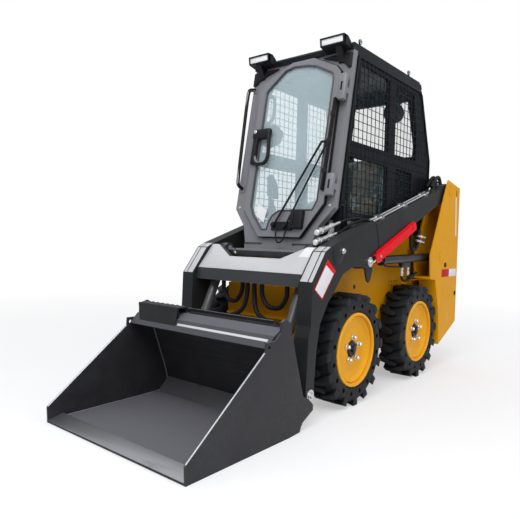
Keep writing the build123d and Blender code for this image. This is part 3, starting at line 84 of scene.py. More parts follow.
# Shader nodes: each helper puts its node in the tree of the socket it is given
def feed(node, name, value):
    socket = node.inputs[name]
    if isinstance(value, bpy.types.NodeSocket):
        node.id_data.links.new(value, socket)
    else:
        socket.default_value = (*value[:3], 1) if socket.type == "RGBA" else value


def addNode(tree, kind, inputs=None, **settings):
    node = tree.nodes.new("ShaderNode" + kind)
    for name, value in settings.items():
        setattr(node, name, value)
    for name, value in (inputs or {}).items():
        feed(node, name, value)
    return node


def addNoise(where, detail, scale, rough=0.5):
    inputs = {"Vector": where, "Scale": scale, "Detail": detail, "Roughness": rough}
    return addNode(where.id_data, "TexNoise", inputs).outputs


def addRamp(source, low, high):
    return addNode(source.id_data, "MapRange", {"Value": source, "From Min": low, "From Max": high}).outputs["Result"]


def addMath(kind, first, second):
    return addNode(first.id_data, "Math", {0: first, 1: second}, operation=kind).outputs[0]


def times(first, second):
    return addMath("MULTIPLY", first, second)


def scaled(source, by, base):
    return addMath("ADD", times(source, by), base)


def addMix(mask, first, second):
    # The colour sockets of a Mix node are its inputs 6 and 7 and its output 2
    return addNode(mask.id_data, "Mix", {0: mask, 6: first, 7: second}, data_type="RGBA").outputs[2]


def splitAxes(vector):
    return addNode(vector.id_data, "SeparateXYZ", {0: vector}).outputs


# Shared surface effects, as node groups
def newGroup(name, inputs, outputs=("Color", "Roughness", "Height")):
    group = bpy.data.node_groups.new(name, "ShaderNodeTree")
    kinds = {4: "NodeSocketColor", 3: "NodeSocketVector"}
    for label, value in inputs.items():
        kind = kinds[len(value)] if isinstance(value, tuple) else "NodeSocketFloat"
        group.interface.new_socket(name=label, in_out="INPUT", socket_type=kind).default_value = value
    for label in outputs:
        kind = "NodeSocketColor" if label == "Color" else "NodeSocketFloat"
        group.interface.new_socket(name=label, in_out="OUTPUT", socket_type=kind)
    given = group.nodes.new("NodeGroupInput").outputs
    return group, given, group.nodes.new("NodeGroupOutput"), addNode(group, "TexCoord").outputs


def makePaintCoat():
    # Sprayed paint: broad tone, fine orange peel, dust low down and in patches, and a painted top light that lifts
    # faces which point up toward the dust colour
    group, given, out, coord = newGroup("paintCoat", {
        "Paint": (0.8, 0.47, 0.02, 1), "Dust": (0.3, 0.27, 0.22, 1), "Dust Amount": 0.25, "Tone": 0.12, "Upper": 0.0,
    })
    where = coord["Object"]
    patch = addRamp(addNoise(where, 6, 9, 0.65)["Fac"], 0.42, 0.72)
    low = addRamp(splitAxes(where)["Z"], 0.75, 0.05)
    dustAndTopLight = times(times(scaled(low, 0.7, 0.3), patch), given["Dust Amount"])
    # Painted top light: the more a face points up, the more it is lifted toward the dust colour, by the amount given
    # for it; from here the dust mask holds this painted light as well as the real dust
    upper = times(addRamp(splitAxes(coord["Normal"])["Z"], 0.55, 0.95), given["Upper"])
    dustAndTopLight = addMath("MAXIMUM", dustAndTopLight, upper)
    shade = addMath("SUBTRACT", addRamp(addNoise(where, 3, 2.2)["Fac"], 0.3, 0.7), 0.5)
    toned = addNode(group, "HueSaturation", {"Color": given["Paint"], "Value": scaled(shade, given["Tone"], 1.0)})
    feed(out, "Color", addMix(dustAndTopLight, toned.outputs["Color"], given["Dust"]))
    feed(out, "Roughness", addMath("ADD", scaled(patch, 0.16, 0.34), times(dustAndTopLight, 0.6)))
    feed(out, "Height", addNoise(where, 2, 420)["Fac"])
    return group


def makeScuffs():
    # Long fine scratches and worn patches, stretched along one direction
    group, given, out, coord = newGroup("scuffs", {"Stretch": (3, 40, 40), "Amount": 0.5}, ("Mask", "Height"))
    mapping = addNode(group, "Mapping", {"Vector": coord["Object"], "Scale": given["Stretch"]})
    streak = addNoise(mapping.outputs["Vector"], 5, 1.6, 0.7)["Fac"]
    broad = addNoise(coord["Object"], 3, 3.4)["Fac"]
    feed(out, "Mask", times(times(addRamp(streak, 0.5, 0.68), addRamp(broad, 0.35, 0.62)), given["Amount"]))
    feed(out, "Height", streak)
    return group


def makeGrain():
    # Moulded plastic and rubber: a fine pebbled grain with a soft bloom
    group, given, out, coord = newGroup("mouldedGrain", {
        "Base": (0.02, 0.02, 0.02, 1), "Bloom": (0.08, 0.08, 0.08, 1), "Grain Scale": 600.0, "Bloom Amount": 0.4,
    })
    where = coord["Object"]
    cells = addNode(group, "TexVoronoi", {"Vector": where, "Scale": given["Grain Scale"]})
    soft = addNoise(where, 5, 14, 0.6)["Fac"]
    feed(out, "Color", addMix(times(addRamp(soft, 0.4, 0.75), given["Bloom Amount"]), given["Base"], given["Bloom"]))
    feed(out, "Roughness", scaled(soft, 0.3, 0.42))
    feed(out, "Height", cells.outputs["Distance"])
    return group


def makeCrinkledFilm():
    # Clear film over cloth: sharp creases with a painted highlight along them, tan cloth in the middle, teal round it
    group, given, out, coord = newGroup("crinkledFilm", {
        "Shade": (0.050, 0.110, 0.120, 1), "Cloth": (0.27, 0.205, 0.125, 1), "CreaseHighlight": (0.55, 0.72, 0.74, 1),
    })
    where = coord["Object"]
    warp = addNoise(where, 4, 6, 0.6)
    moved = addNode(group, "VectorMath", {0: warp["Color"], 1: (0.12,) * 3, 2: where}, operation="MULTIPLY_ADD")
    cells = addNode(group, "TexVoronoi", {"Vector": moved.outputs[0], "Scale": 13}, feature="DISTANCE_TO_EDGE")
    crease = addRamp(cells.outputs["Distance"], 0.14, 0.0)
    middle = addRamp(addMath("ABSOLUTE", splitAxes(where)["X"], 0.0), 0.17, 0.08)
    cloth = times(addRamp(addNoise(where, 4, 7, 0.6)["Fac"], 0.30, 0.58), middle)
    # The bright crease colour is a painted highlight, laid along the creases where the warp is high
    shine = times(crease, addRamp(warp["Fac"], 0.40, 0.60))
    feed(out, "Color", addMix(times(shine, 0.8), addMix(cloth, given["Shade"], given["Cloth"]), given["CreaseHighlight"]))
    feed(out, "Roughness", scaled(warp["Fac"], 0.3, 0.12))
    feed(out, "Height", addMath("ADD", crease, warp["Fac"]))
    return group


paintCoat = makePaintCoat()
crinkledFilm = makeCrinkledFilm()
scuffs = makeScuffs()
mouldedGrain = makeGrain()


def newMaterial(name, metallic=0.0, coat=0.0, roughness=0.5, shine=0.5):
    material = bpy.data.materials.new(name)
    material.use_nodes = True
    shader = material.node_tree.nodes["Principled BSDF"]
    shader.inputs["Metallic"].default_value = metallic
    shader.inputs["Coat Weight"].default_value = coat
    shader.inputs["Roughness"].default_value = roughness
    shader.inputs["Specular IOR Level"].default_value = shine
    return material, material.node_tree, shader


def placeGroup(tree, group, **values):
    inputs = {name.replace("_", " "): value for name, value in values.items()}
    return addNode(tree, "Group", inputs, node_tree=group).outputs


def setSurface(shader, color, roughness, height, strength, distance):
    feed(shader, "Base Color", color)
    feed(shader, "Roughness", roughness)
    bump = addNode(shader.id_data, "Bump", {"Strength": strength, "Distance": distance, "Height": height})
    feed(shader, "Normal", bump.outputs["Normal"])


# Dust colour of the dark paints; it is also the colour their up-facing faces are lifted to as painted top light
darkDustAndTopLight = (0.07, 0.07, 0.075)


# upper sets how far faces that point up are lifted toward the dust colour, a painted top light
def paintedMetal(name, paint, amount, tone, dustAndTopLight=darkDustAndTopLight, coat=0.0, scratch=0.0, shine=0.5, upper=0.0):
    material, tree, shader = newMaterial(name, coat=coat, shine=shine)
    layer = placeGroup(tree, paintCoat, Paint=paint, Dust=dustAndTopLight, Dust_Amount=amount, Tone=tone, Upper=upper)
    color = layer["Color"]
    if scratch:
        wear = placeGroup(tree, scuffs, Stretch=(3, 40, 40), Amount=scratch)
        color = addMix(wear["Mask"], color, (0.15, 0.15, 0.16))
    setSurface(shader, color, layer["Roughness"], layer["Height"], 0.06, 0.0004)
    return material


def moulded(name, base, bloom, scale, amount, strength, shine=0.3):
    material, tree, shader = newMaterial(name, shine=shine)
    grain = placeGroup(tree, mouldedGrain, Base=base, Bloom=bloom, Grain_Scale=scale, Bloom_Amount=amount)
    setSurface(shader, grain["Color"], grain["Roughness"], grain["Height"], strength, 0.0004)
    return material


def bareMetal(name, base, dark, roughness, stretch=(60, 60, 8)):
    material, tree, shader = newMaterial(name, metallic=0.9, roughness=roughness)
    wear = placeGroup(tree, scuffs, Stretch=stretch, Amount=0.6)
    rough = scaled(wear["Height"], 0.2, roughness - 0.1)
    setSurface(shader, addMix(wear["Mask"], base, dark), rough, wear["Height"], 0.08, 0.0003)
    return material


def wrappedFilm(name):
    # The seat under its crumpled clear cover
    material, tree, shader = newMaterial(name, coat=0.6, roughness=0.3)
    film = placeGroup(tree, crinkledFilm)
    setSurface(shader, film["Color"], film["Roughness"], film["Height"], 0.6, 0.004)
    return material


def clearGlass(name, tint, roughness, alpha):
    material, tree, shader = newMaterial(name, roughness=roughness, shine=0.7)
    where = addNode(tree, "TexCoord").outputs["Object"]
    mask = addRamp(addNoise(where, 5, 2.5, 0.3)["Fac"], 0.2, 0.9)
    feed(shader, "Base Color", addMix(mask, tint, tuple(min(1, part * 1.25) for part in tint)))
    feed(shader, "Roughness", scaled(mask, 0.05, roughness))
    feed(shader, "Alpha", scaled(mask, 0.03, alpha))
    shader.inputs["IOR"].default_value = 1.45
    return material


edgeWear = (4, 12, 12)       # how far the scratches along a worn edge are drawn out
finish = {
    "yellow": paintedMetal("goldenYellowPaint", (0.66, 0.300, 0.002), 0.15, 0.08, (0.55, 0.25, 0.006), shine=0.08),
    # A darker copy of the yellow paint: painted shade for the hull sides and chassis under the arms, and for the dark
    # rings round the pin keepers
    "shadedYellow": paintedMetal("shadedYellowPaint", (0.50, 0.215, 0.002), 0.2, 0.10, (0.40, 0.18, 0.006), shine=0.08),
    "rimYellow": paintedMetal("rimYellowPaint", (0.74, 0.345, 0.006), 0.2, 0.10, (0.45, 0.25, 0.03), 0.05, shine=0.2),
    # Charcoal, bucket and cab: their upper amount lifts up-facing faces toward the dust colour as painted top light;
    # on the bucket it is a painted reflection that lightens the floor
    "charcoal": paintedMetal("charcoalPaint", (0.019, 0.020, 0.021), 0.12, 0.2, shine=0.12, upper=0.25),
    "bucket": paintedMetal(
        "bucketPaint", (0.024, 0.024, 0.027), 0.08, 0.2, (0.15, 0.15, 0.17), scratch=0.12, shine=0.18, upper=0.72),
    "cab": paintedMetal("cabPaint", (0.006, 0.008, 0.011), 0.05, 0.15, shine=0.12, upper=0.2),
    "frontGrey": paintedMetal("frontGreyPaint", (0.160, 0.160, 0.174), 0.15, 0.12, (0.20, 0.20, 0.21), 0.2),
    "crossDark": paintedMetal("crossmemberPaint", (0.030, 0.033, 0.037), 0.15, 0.2, shine=0.3),
    # Pale grey; on the crossmember's slope it stands for a painted reflection
    "paleGrey": paintedMetal("paleGreyPaint", (0.46, 0.46, 0.47), 0.4, 0.12, (0.60, 0.60, 0.61), 0.15),
    "red": paintedMetal("propRedPaint", (0.68, 0.002, 0.008), 0.05, 0.10, (0.4, 0.01, 0.01), shine=0.12),
    "cylinderBlack": paintedMetal("cylinderBlackPaint", (0.010, 0.010, 0.012), 0.15, 0.2, coat=0.1, shine=0.3),
    "cylinderGrey": paintedMetal("cylinderGreyPaint", (0.06, 0.06, 0.066), 0.2, 0.2, coat=0.25, shine=0.4),
    "iron": paintedMetal("engineIron", (0.06, 0.06, 0.06), 0.5, 0.3, (0.15, 0.13, 0.10)),
    "rubber": moulded("tyreRubber", (0.008, 0.009, 0.011), (0.030, 0.031, 0.034), 420, 0.35, 0.3, 0.2),
    "plastic": moulded("blackPlastic", (0.005, 0.005, 0.007), (0.018, 0.018, 0.02), 700, 0.3, 0.2, 0.25),
    "treadPlate": moulded("treadPlate", (0.012, 0.012, 0.014), (0.05, 0.05, 0.055), 300, 0.5, 0.4, 0.5),
    "hose": moulded("hoseRubber", (0.003, 0.003, 0.004), (0.014, 0.014, 0.016), 150, 0.35, 0.7, 0.25),
    "seal": moulded("rubberSeal", (0.004, 0.004, 0.005), (0.012, 0.012, 0.012), 500, 0.3, 0.15, 0.15),
    "redLens": moulded("redLens", (0.42, 0.003, 0.006), (0.55, 0.03, 0.03), 220, 0.3, 0.4, 0.2),
    "whiteLens": moulded("whiteLens", (0.72, 0.72, 0.73), (0.9, 0.9, 0.9), 260, 0.5, 0.5),
    "whiteSign": moulded("whiteSign", (0.66, 0.66, 0.68), (0.78, 0.78, 0.80), 900, 0.4, 0.05),
    "steel": bareMetal("zincSteel", (0.66, 0.66, 0.66), (0.36, 0.36, 0.36), 0.28),
    "wornSteel": bareMetal("wornEdgeSteel", (0.36, 0.36, 0.38), (0.20, 0.20, 0.21), 0.40, edgeWear),
    # Bright steel for the painted highlights on the bucket's lip and top edge
    "lipHighlight": bareMetal("paintedLipHighlight", (0.72, 0.72, 0.74), (0.40, 0.40, 0.42), 0.38, edgeWear),
    "chrome": bareMetal("hardChrome", (0.85, 0.85, 0.85), (0.6, 0.6, 0.6), 0.16),
    "glass": clearGlass("tintedGlass", (0.50, 0.62, 0.66), 0.04, 0.34),
    "sideGlass": clearGlass("sideGlass", (0.05, 0.09, 0.10), 0.05, 0.06),
    "film": wrappedFilm("seatFilm"),
}

# The floor pales to the backdrop's white away from the machine
studio = {
    "floorColor": (0.80, 0.80, 0.81),
    "floorSpeck": (0.82, 0.82, 0.83),
    "skyColor": (0.95, 0.97, 1.0),
    "skyLow": 0.42,
    "skyHigh": 1.05,
    "glowNear": 1.5,
    "glowFar": 5.5,
    "glowMin": 0.42,
    "lamps": {
        # place, aim, size, energy
        "keyLamp": ((1.5, -3.0, 4.2), (0, 0, 0.6), 3.0, 140),
        "sideLamp": ((4.0, 0.8, 2.6), (0, 0.2, 0.7), 2.5, 26),
    },
}


def addFloor():
    bpy.ops.mesh.primitive_plane_add(size=60, location=(0, 0, -0.0005))
    floor = bpy.context.object
    floor.name = "studioFloor"
    material, tree, shader = newMaterial("paleFloor", roughness=0.9, shine=0.2)
    where = addNode(tree, "TexCoord").outputs["Object"]
    mask = addRamp(addNoise(where, 3, 30)["Fac"], 0.3, 0.7)
    feed(shader, "Base Color", addMix(mask, studio["floorColor"], studio["floorSpeck"]))
    away = addNode(tree, "VectorMath", {0: where}, operation="LENGTH").outputs["Value"]
    spread = addRamp(away, studio["glowNear"], studio["glowFar"])
    seen = addNode(tree, "LightPath").outputs["Is Camera Ray"]
    glow = times(scaled(spread, 1 - studio["glowMin"], studio["glowMin"]), seen)
    blend = addNode(tree, "MixShader", {0: glow, 1: shader.outputs[0], 2: addNode(tree, "Emission").outputs[0]})
    feed(tree.nodes["Material Output"], "Surface", blend.outputs[0])
    floor.data.materials.append(material)


def addSky():
    world = bpy.data.worlds.new("studioSky")
    bpy.context.scene.world = world
    world.use_nodes = True
    tree = world.node_tree
    tree.nodes.clear()
    height = addRamp(splitAxes(addNode(tree, "TexCoord").outputs["Generated"])["Z"], 0.0, 0.9)
    strength = scaled(height, studio["skyHigh"] - studio["skyLow"], studio["skyLow"])
    light = addNode(tree, "Background", {"Color": studio["skyColor"], "Strength": strength})
    plain = addNode(tree, "Background", {"Color": (1, 1, 1)})
    path = addNode(tree, "LightPath").outputs
    seen = addMath("ADD", path["Is Camera Ray"], path["Is Transmission Ray"])
    mix = addNode(tree, "MixShader", {0: seen, 1: light.outputs[0], 2: plain.outputs[0]})
    addNode(tree, "OutputWorld", {"Surface": mix.outputs[0]})


def addLamp(name, place, aim, size, energy):
    data = bpy.data.lights.new(name, "AREA")
    data.size = size
    data.energy = energy
    lamp = bpy.data.objects.new(name, data)
    lamp.location = place
    lamp.rotation_euler = (Vector(aim) - Vector(place)).to_track_quat("-Z", "Y").to_euler()
    bpy.context.scene.collection.objects.link(lamp)


addFloor()
addSky()
for lampName, settings in studio["lamps"].items():
    addLamp(lampName, *settings)
bpy.context.scene.view_settings.view_transform = "Standard"
print("floor, sky and lamps")

# Finishes of the solids that keep their shape
solidFinish = {
    "yellow": ("nose_box", "engine_bay", "tower_left", "tower_right", "hood", "rear_door", "tower_pins"),
    # The chassis and hull sides take the darker yellow: painted shade
    "shadedYellow": ("chassis", "hull_sides"),
    "rimYellow": ("rim_front_left", "rim_front_right", "rim_rear_left", "rim_rear_right"),
    "rubber": ("tyre_front_left", "tyre_front_right", "tyre_rear_left", "tyre_rear_right"),
    "charcoal": ("arm_left", "arm_right", "carrier", "rear_bumper", "bucket_step"),
    "bucket": ("bucket_shell", "bucket_cheeks"),
    "cab": ("cab_side_left", "cab_side_right", "cab_roof", "cab_rear", "cab_floor", "cab_corners"),
    "frontGrey": ("cab_front", "door_frame", "door_hinges"),
    "crossDark": ("crossmember",),
    "plastic": ("work_lamps", "seat_base", "controls", "wiper"),
    "treadPlate": ("tread_step",),
    "hose": ("front_hoses", "arm_hoses"),
    "film": ("seat",),
    "glass": ("door_glass",),
    "sideGlass": ("side_glass", "rear_glass"),
    "steel": ("axle_stubs", "arm_pins", "cover_hinges", "couplers", "arm_lines"),
    "wornSteel": ("cutting_edge",),
    "chrome": ("lift_rods", "tilt_rods"),
    "cylinderBlack": ("lift_barrels",),
    "cylinderGrey": ("tilt_barrels",),
    "red": ("safety_prop",),
    "redLens": ("tail_lamps",),
    "iron": ("engine",),
}
for finishName, members in solidFinish.items():
    for member in members:
        materials = nodes[member].data.materials
        materials.clear()
        materials.append(finish[finishName])
print("solids finished")


# Ways of making pieces
def bakePlace(piece):
    selectOnly(piece)
    bpy.ops.object.transform_apply(location=True, rotation=True, scale=True)


def applyModifier(piece, name, kind, **settings):
    modifier = piece.modifiers.new(name, kind)
    for setting, value in settings.items():
        setattr(modifier, setting, value)
    bpy.ops.object.modifier_apply(modifier=modifier.name)


def softenEdges(piece, width, segments=2, angle=35):
    bakePlace(piece)
    applyModifier(
        piece, "softEdges", "BEVEL", width=width, segments=segments, limit_method="ANGLE", angle_limit=radians(angle))


def joinAll(parts):
    clearSelection()
    for part in parts:
        part.select_set(True)
    bpy.context.view_layer.objects.active = parts[0]
    if len(parts) > 1:
        bpy.ops.object.join()
    return parts[0]


def dress(made, name, body, finishName, angle=35):
    # Takes a piece, or a list of parts to join; edges sharper than the angle stay sharp
    piece = joinAll(made) if isinstance(made, list) else made
    bakePlace(piece)
    bpy.ops.object.shade_smooth_by_angle(angle=radians(angle))
    piece.name = name
    piece.data.materials.clear()
    piece.data.materials.append(finish[finishName])
    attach(piece, body)
    return piece


def put(piece, matrix):
    piece.data.transform(matrix)
    if matrix.determinant() < 0:
        piece.data.flip_normals()
    return piece


def copyPiece(piece, matrix):
    copy = piece.copy()
    copy.data = piece.data.copy()
    bpy.context.scene.collection.objects.link(copy)
    return put(copy, matrix)


def copiesOf(model, matrices):
    # The model itself goes once its copies are made
    copies = [copyPiece(model, matrix) for matrix in matrices]
    bpy.data.objects.remove(model)
    return copies


def aimed(direction, place):
    # The matrix that turns a piece lathed along +X to a direction at a place
    turn = Vector((1, 0, 0)).rotation_difference(Vector(direction)).to_matrix().to_4x4()
    return Matrix.Translation(place) @ turn


def onSide(side, place):
    # The matrix that sets a piece on the left, or mirrored on the right
    return Matrix.Translation(place) @ Matrix.Scale(side, 4, (1, 0, 0))


def span(side, near, far):
    return sorted((side * near, side * far))


def twins(reach, half, low, high):
    # Corners of a box on each side of the middle, from the (y, z) of its ends
    return [((x - half, *low), (x + half, *high)) for x in (-reach, reach)]


def bar(low, high, bevel=0.0):
    # A box between two corners with softened edges
    clearSelection()
    middle = [(a + b) / 2 for a, b in zip(low, high)]
    bpy.ops.mesh.primitive_cube_add(size=1, location=middle)
    piece = bpy.context.object
    piece.scale = [abs(b - a) for a, b in zip(low, high)]
    bakePlace(piece)
    if bevel:
        softenEdges(piece, bevel)
    return piece


def selectAllInEdit():
    bpy.ops.object.mode_set(mode="EDIT")
    bpy.ops.mesh.select_all(action="SELECT")


def closeUp():
    bpy.ops.mesh.select_all(action="SELECT")
    bpy.ops.mesh.normals_make_consistent(inside=False)
    bpy.ops.object.mode_set(mode="OBJECT")


def turned(profile, steps):
    # Lathe work about the X axis: rings at (x, radius), drawn out one after another
    clearSelection()
    x, radius = profile[0]
    bpy.ops.mesh.primitive_circle_add(vertices=steps, radius=1, location=(0, 0, 0), rotation=(0, pi / 2, 0))
    piece = bpy.context.object
    bakePlace(piece)
    selectAllInEdit()
    bpy.ops.transform.resize(value=(1, radius, radius), center_override=(0, 0, 0))
    bpy.ops.transform.translate(value=(x, 0, 0))
    for nextX, nextRadius in profile[1:]:
        bpy.ops.mesh.extrude_region_move()
        bpy.ops.transform.translate(value=(nextX - x, 0, 0))
        grow = nextRadius / radius
        bpy.ops.transform.resize(value=(1, grow, grow), center_override=(nextX, 0, 0))
        x, radius = nextX, nextRadius
    bpy.ops.mesh.select_all(action="SELECT")
    bpy.ops.mesh.remove_doubles(threshold=0.00002)
    closeUp()
    return piece


poleRadius = 0.0001


def capped(profile):
    # Closed at its far end
    return profile + [(profile[-1][0], poleRadius)]


def solid(profile):
    # Closed at both ends
    return [(profile[0][0], poleRadius)] + capped(profile)


along = {
    # where an outline's (u, v) point lies at a distance w along each axis
    "x": lambda w, u, v: (w, u, v),
    "y": lambda w, u, v: (u, w, v),
    "z": lambda w, u, v: (u, v, w),
}


def plate(outline, axis, low, high, bevel=0.0, ring=0.0):
    # A flat outline drawn out along an axis, or with ring a frame of that width
    clearSelection()
    bpy.ops.mesh.primitive_circle_add(vertices=len(outline), radius=1, fill_type="NGON")
    piece = bpy.context.object
    for vertex, (u, v) in zip(piece.data.vertices, outline):
        vertex.co = along[axis](low, u, v)
    selectAllInEdit()
    if ring:
        bpy.ops.mesh.inset(thickness=ring, depth=0, use_boundary=True, use_outset=False)
        bpy.ops.mesh.delete(type="FACE")
        bpy.ops.mesh.select_all(action="SELECT")
    bpy.ops.mesh.extrude_region_move()
    bpy.ops.transform.translate(value=along[axis](high - low, 0, 0))
    closeUp()
    if bevel:
        softenEdges(piece, bevel)
    return piece


def wire(points, radius, sides=8):
    # A round rod or pipe through points, with rounded bends
    curveData = bpy.data.curves.new("pipe", "CURVE")
    curveData.dimensions = "3D"
    curveData.bevel_depth = radius
    curveData.bevel_resolution = max(1, sides // 4)
    curveData.use_fill_caps = True
    spline = curveData.splines.new("NURBS")
    spline.points.add(len(points) - 1)
    for knot, point in zip(spline.points, points):
        knot.co = (*point, 1)
    spline.order_u = 3 if len(points) > 2 else 2
    spline.use_endpoint_u = True
    spline.resolution_u = 6
    curveObject = bpy.data.objects.new("pipe", curveData)
    bpy.context.scene.collection.objects.link(curveObject)
    selectOnly(curveObject)
    bpy.ops.object.convert(target="MESH")
    return bpy.context.object


def wiresAt(x, route, radius, sides):
    # The same (y, z) route on the left and on the right
    return [wire([(side * x, y, z) for y, z in route], radius, sides) for side in (1, -1)]


def lathed(profile, steps, *places):
    # A copy of one turned form at each place
    return copiesOf(turned(profile, steps), places)


def hexBolt(radius, height):
    # A hexagon head on a washer, along +X from x = 0
    neck, brim = radius * 0.94, radius * 1.3
    head = turned(capped([(height * 0.3, neck), (height * 0.9, neck), (height, radius * 0.8)]), 6)
    washer = turned(solid([(0, brim), (height * 0.28, brim), (height * 0.32, radius * 1.2)]), 20)
    return joinAll([washer, head])


def boltsAt(name, spots, direction, radius, height, body, finishName="steel"):
    bolts = copiesOf(hexBolt(radius, height), [aimed(direction, spot) for spot in spots])
    return dress(bolts, name, body, finishName)


def boltsOnSides(name, spots, radius, height, body, finishName="steel"):
    for side, hand in ((1, "Left"), (-1, "Right")):
        mirrored = [(side * x, y, z) for x, y, z in spots]
        boltsAt(name + hand, mirrored, (side, 0, 0), radius, height, body, finishName)


def circleSpots(count, radius, shift=0.0):
    angles = [2 * pi * (step + shift) / count for step in range(count)]
    return [(radius * sin(angle), radius * cos(angle)) for angle in angles]


# Tyres and rims, made once as the left wheel at x and turned about the X axis
wheels = {"front_left": (1, -0.117), "front_right": (-1, -0.117), "rear_left": (1, 0.687), "rear_right": (-1, 0.687)}
tyre = {
    "radius": 0.290,
    "middle": 0.3675,        # its middle plane, from the machine's
    "side": [
        # from the outer bead up the sidewall to the tread, as (x from the tyre's middle, radius)
        (0.0625, 0.192), (0.0705, 0.198), (0.0725, 0.206), (0.0745, 0.214),
        (0.0745, 0.244), (0.0715, 0.256), (0.0645, 0.266), (0.0565, 0.268),
    ],
    "lugs": 16,
    "lug": [(0.0765, -0.026), (0.0765, 0.020), (0.026, 0.044), (-0.021, 0.051), (-0.027, 0.027), (0.012, 0.007)],
    "lugDepth": 0.012,
    "lugFlare": 2.4,         # how much deeper the lug's foot reaches than its block
    "shoulder": (0.06, 0.010),  # where the foot is lowered, and by how much
    "holeFace": 0.442,
    "holeRing": 0.226,
    "holeRadius": 0.0125,
    "holeDepth": 0.024,
}


def makeLug(across):
    # One bar of the tread, softened and wrapped on the wheel
    lug = plate(tyre["lug"], "z", -tyre["lugDepth"], 0.0)
    softenEdges(lug, 0.004, 2, 40)
    foot, (shoulder, drop) = -tyre["lugDepth"] / 2, tyre["shoulder"]
    for vertex in lug.data.vertices:
        x, y, z = vertex.co
        reach = tyre["radius"] + z * (1 if z > foot else tyre["lugFlare"])
        if abs(x) > shoulder and z < foot:
            reach -= drop
        angle = y / tyre["radius"]
        vertex.co = (tyre["middle"] + across * x, -reach * sin(angle), reach * cos(angle))
    if across < 0:
        lug.data.flip_normals()
    return lug


def makeTyre():
    middle, side = tyre["middle"], tyre["side"]
    profile = [(middle + x, r) for x, r in side] + [(middle - x, r) for x, r in reversed(side)]
    body = turned(profile + profile[:1], 64)
    holes = []
    for y, z in circleSpots(tyre["lugs"], tyre["holeRing"], 0.5):
        clearSelection()
        bpy.ops.mesh.primitive_cylinder_add(
            vertices=14, radius=tyre["holeRadius"], depth=tyre["holeDepth"],
            location=(tyre["holeFace"], y, z), rotation=(0, pi / 2, 0))
        holes.append(bpy.context.object)
        bakePlace(holes[-1])
    cutter = joinAll(holes)
    selectOnly(body)
    applyModifier(body, "sidewallHoles", "BOOLEAN", operation="DIFFERENCE", object=cutter, solver="EXACT")
    bpy.data.objects.remove(cutter)
    parts = [body]
    for across, shift in ((1, 0), (-1, 0.5)):
        angles = [-2 * pi * (step + shift) / tyre["lugs"] for step in range(tyre["lugs"])]
        parts += copiesOf(makeLug(across), [Matrix.Rotation(angle, 4, "X") for angle in angles])
    return joinAll(parts)


rim = {
    "face": 0.411,           # the raised middle of the disc, where the nuts stand
    "boltRing": 0.062,
    "bolts": 5,
    "boltSize": (0.0112, 0.024),
    "profile": [
        # from the bead seat over the lip, down the dish and its groove to the hub hole, and back inside
        (0.415, 0.1915), (0.438, 0.1915), (0.441, 0.1895), (0.442, 0.186), (0.442, 0.179), (0.438, 0.176),
        (0.424, 0.175), (0.422, 0.172), (0.427, 0.168), (0.426, 0.164), (0.410, 0.153), (0.407, 0.147),
        (0.407, 0.098), (0.411, 0.090), (0.411, 0.047), (0.408, 0.044), (0.399, 0.044), (0.399, 0.150),
        (0.415, 0.180), (0.315, 0.180), (0.315, 0.1915), (0.415, 0.1915),
    ],
    "hub": [
        (0.337, 0.041), (0.413, 0.041), (0.419, 0.036), (0.420, 0.030), (0.415, 0.026), (0.415, 0.018),
        (0.429, 0.016), (0.432, 0.012),
    ],
}


def makeWheelNuts():
    spots = circleSpots(rim["bolts"], rim["boltRing"])
    places = [Matrix.Translation((rim["face"], y, z)) for y, z in spots]
    return joinAll(copiesOf(hexBolt(*rim["boltSize"]), places))


wheelParts = {
    "Tyre": (makeTyre(), "tyre_black", "rubber", "tyre_"),
    "Rim": (turned(rim["profile"], 72), "rim_yellow", "rimYellow", "rim_"),
    "Hub": (turned(capped(rim["hub"]), 32), "cylinder_black", "cylinderBlack", None),
    "Nuts": (makeWheelNuts(), "steel", "steel", None),
}
for spot, (side, axleY) in wheels.items():
    for part, (model, slotName, finishName, replaced) in wheelParts.items():
        piece = copyPiece(model, onSide(side, (0, axleY, tyre["radius"])))
        dress(piece, spot + part, "wheel_" + spot, finishName, 30)
        if replaced:
            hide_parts(replaced + spot)
for model, *_ in wheelParts.values():
    bpy.data.objects.remove(model)
print("wheels made")

# The cab's leaning front: local x across, y back into the cab, z up the slope from the door's top
lean = radians(10.54)
frontTop = (-0.057, 1.846)
cabFront = Matrix((
    (1, 0, 0, 0), (0, cos(lean), sin(lean), frontTop[0]), (0, -sin(lean), cos(lean), frontTop[1]), (0, 0, 0, 1)))
outOfCab = (0, -cos(lean), sin(lean))


def upSlope(height):
    return (height - frontTop[1]) / cos(lean)


def onCab(x, depth, height):
    return tuple(cabFront @ Vector((x, depth, upSlope(height))))


def leanBar(x, depth, height, bevel):
    low, high = zip(x, depth, [upSlope(z) for z in height])
    return put(bar(low, high, bevel), cabFront)


def leanPlate(outline, low, high, bevel=0.0, ring=0.0):
    return put(plate([(x, upSlope(z)) for x, z in outline], "y", low, high, bevel, ring), cabFront)


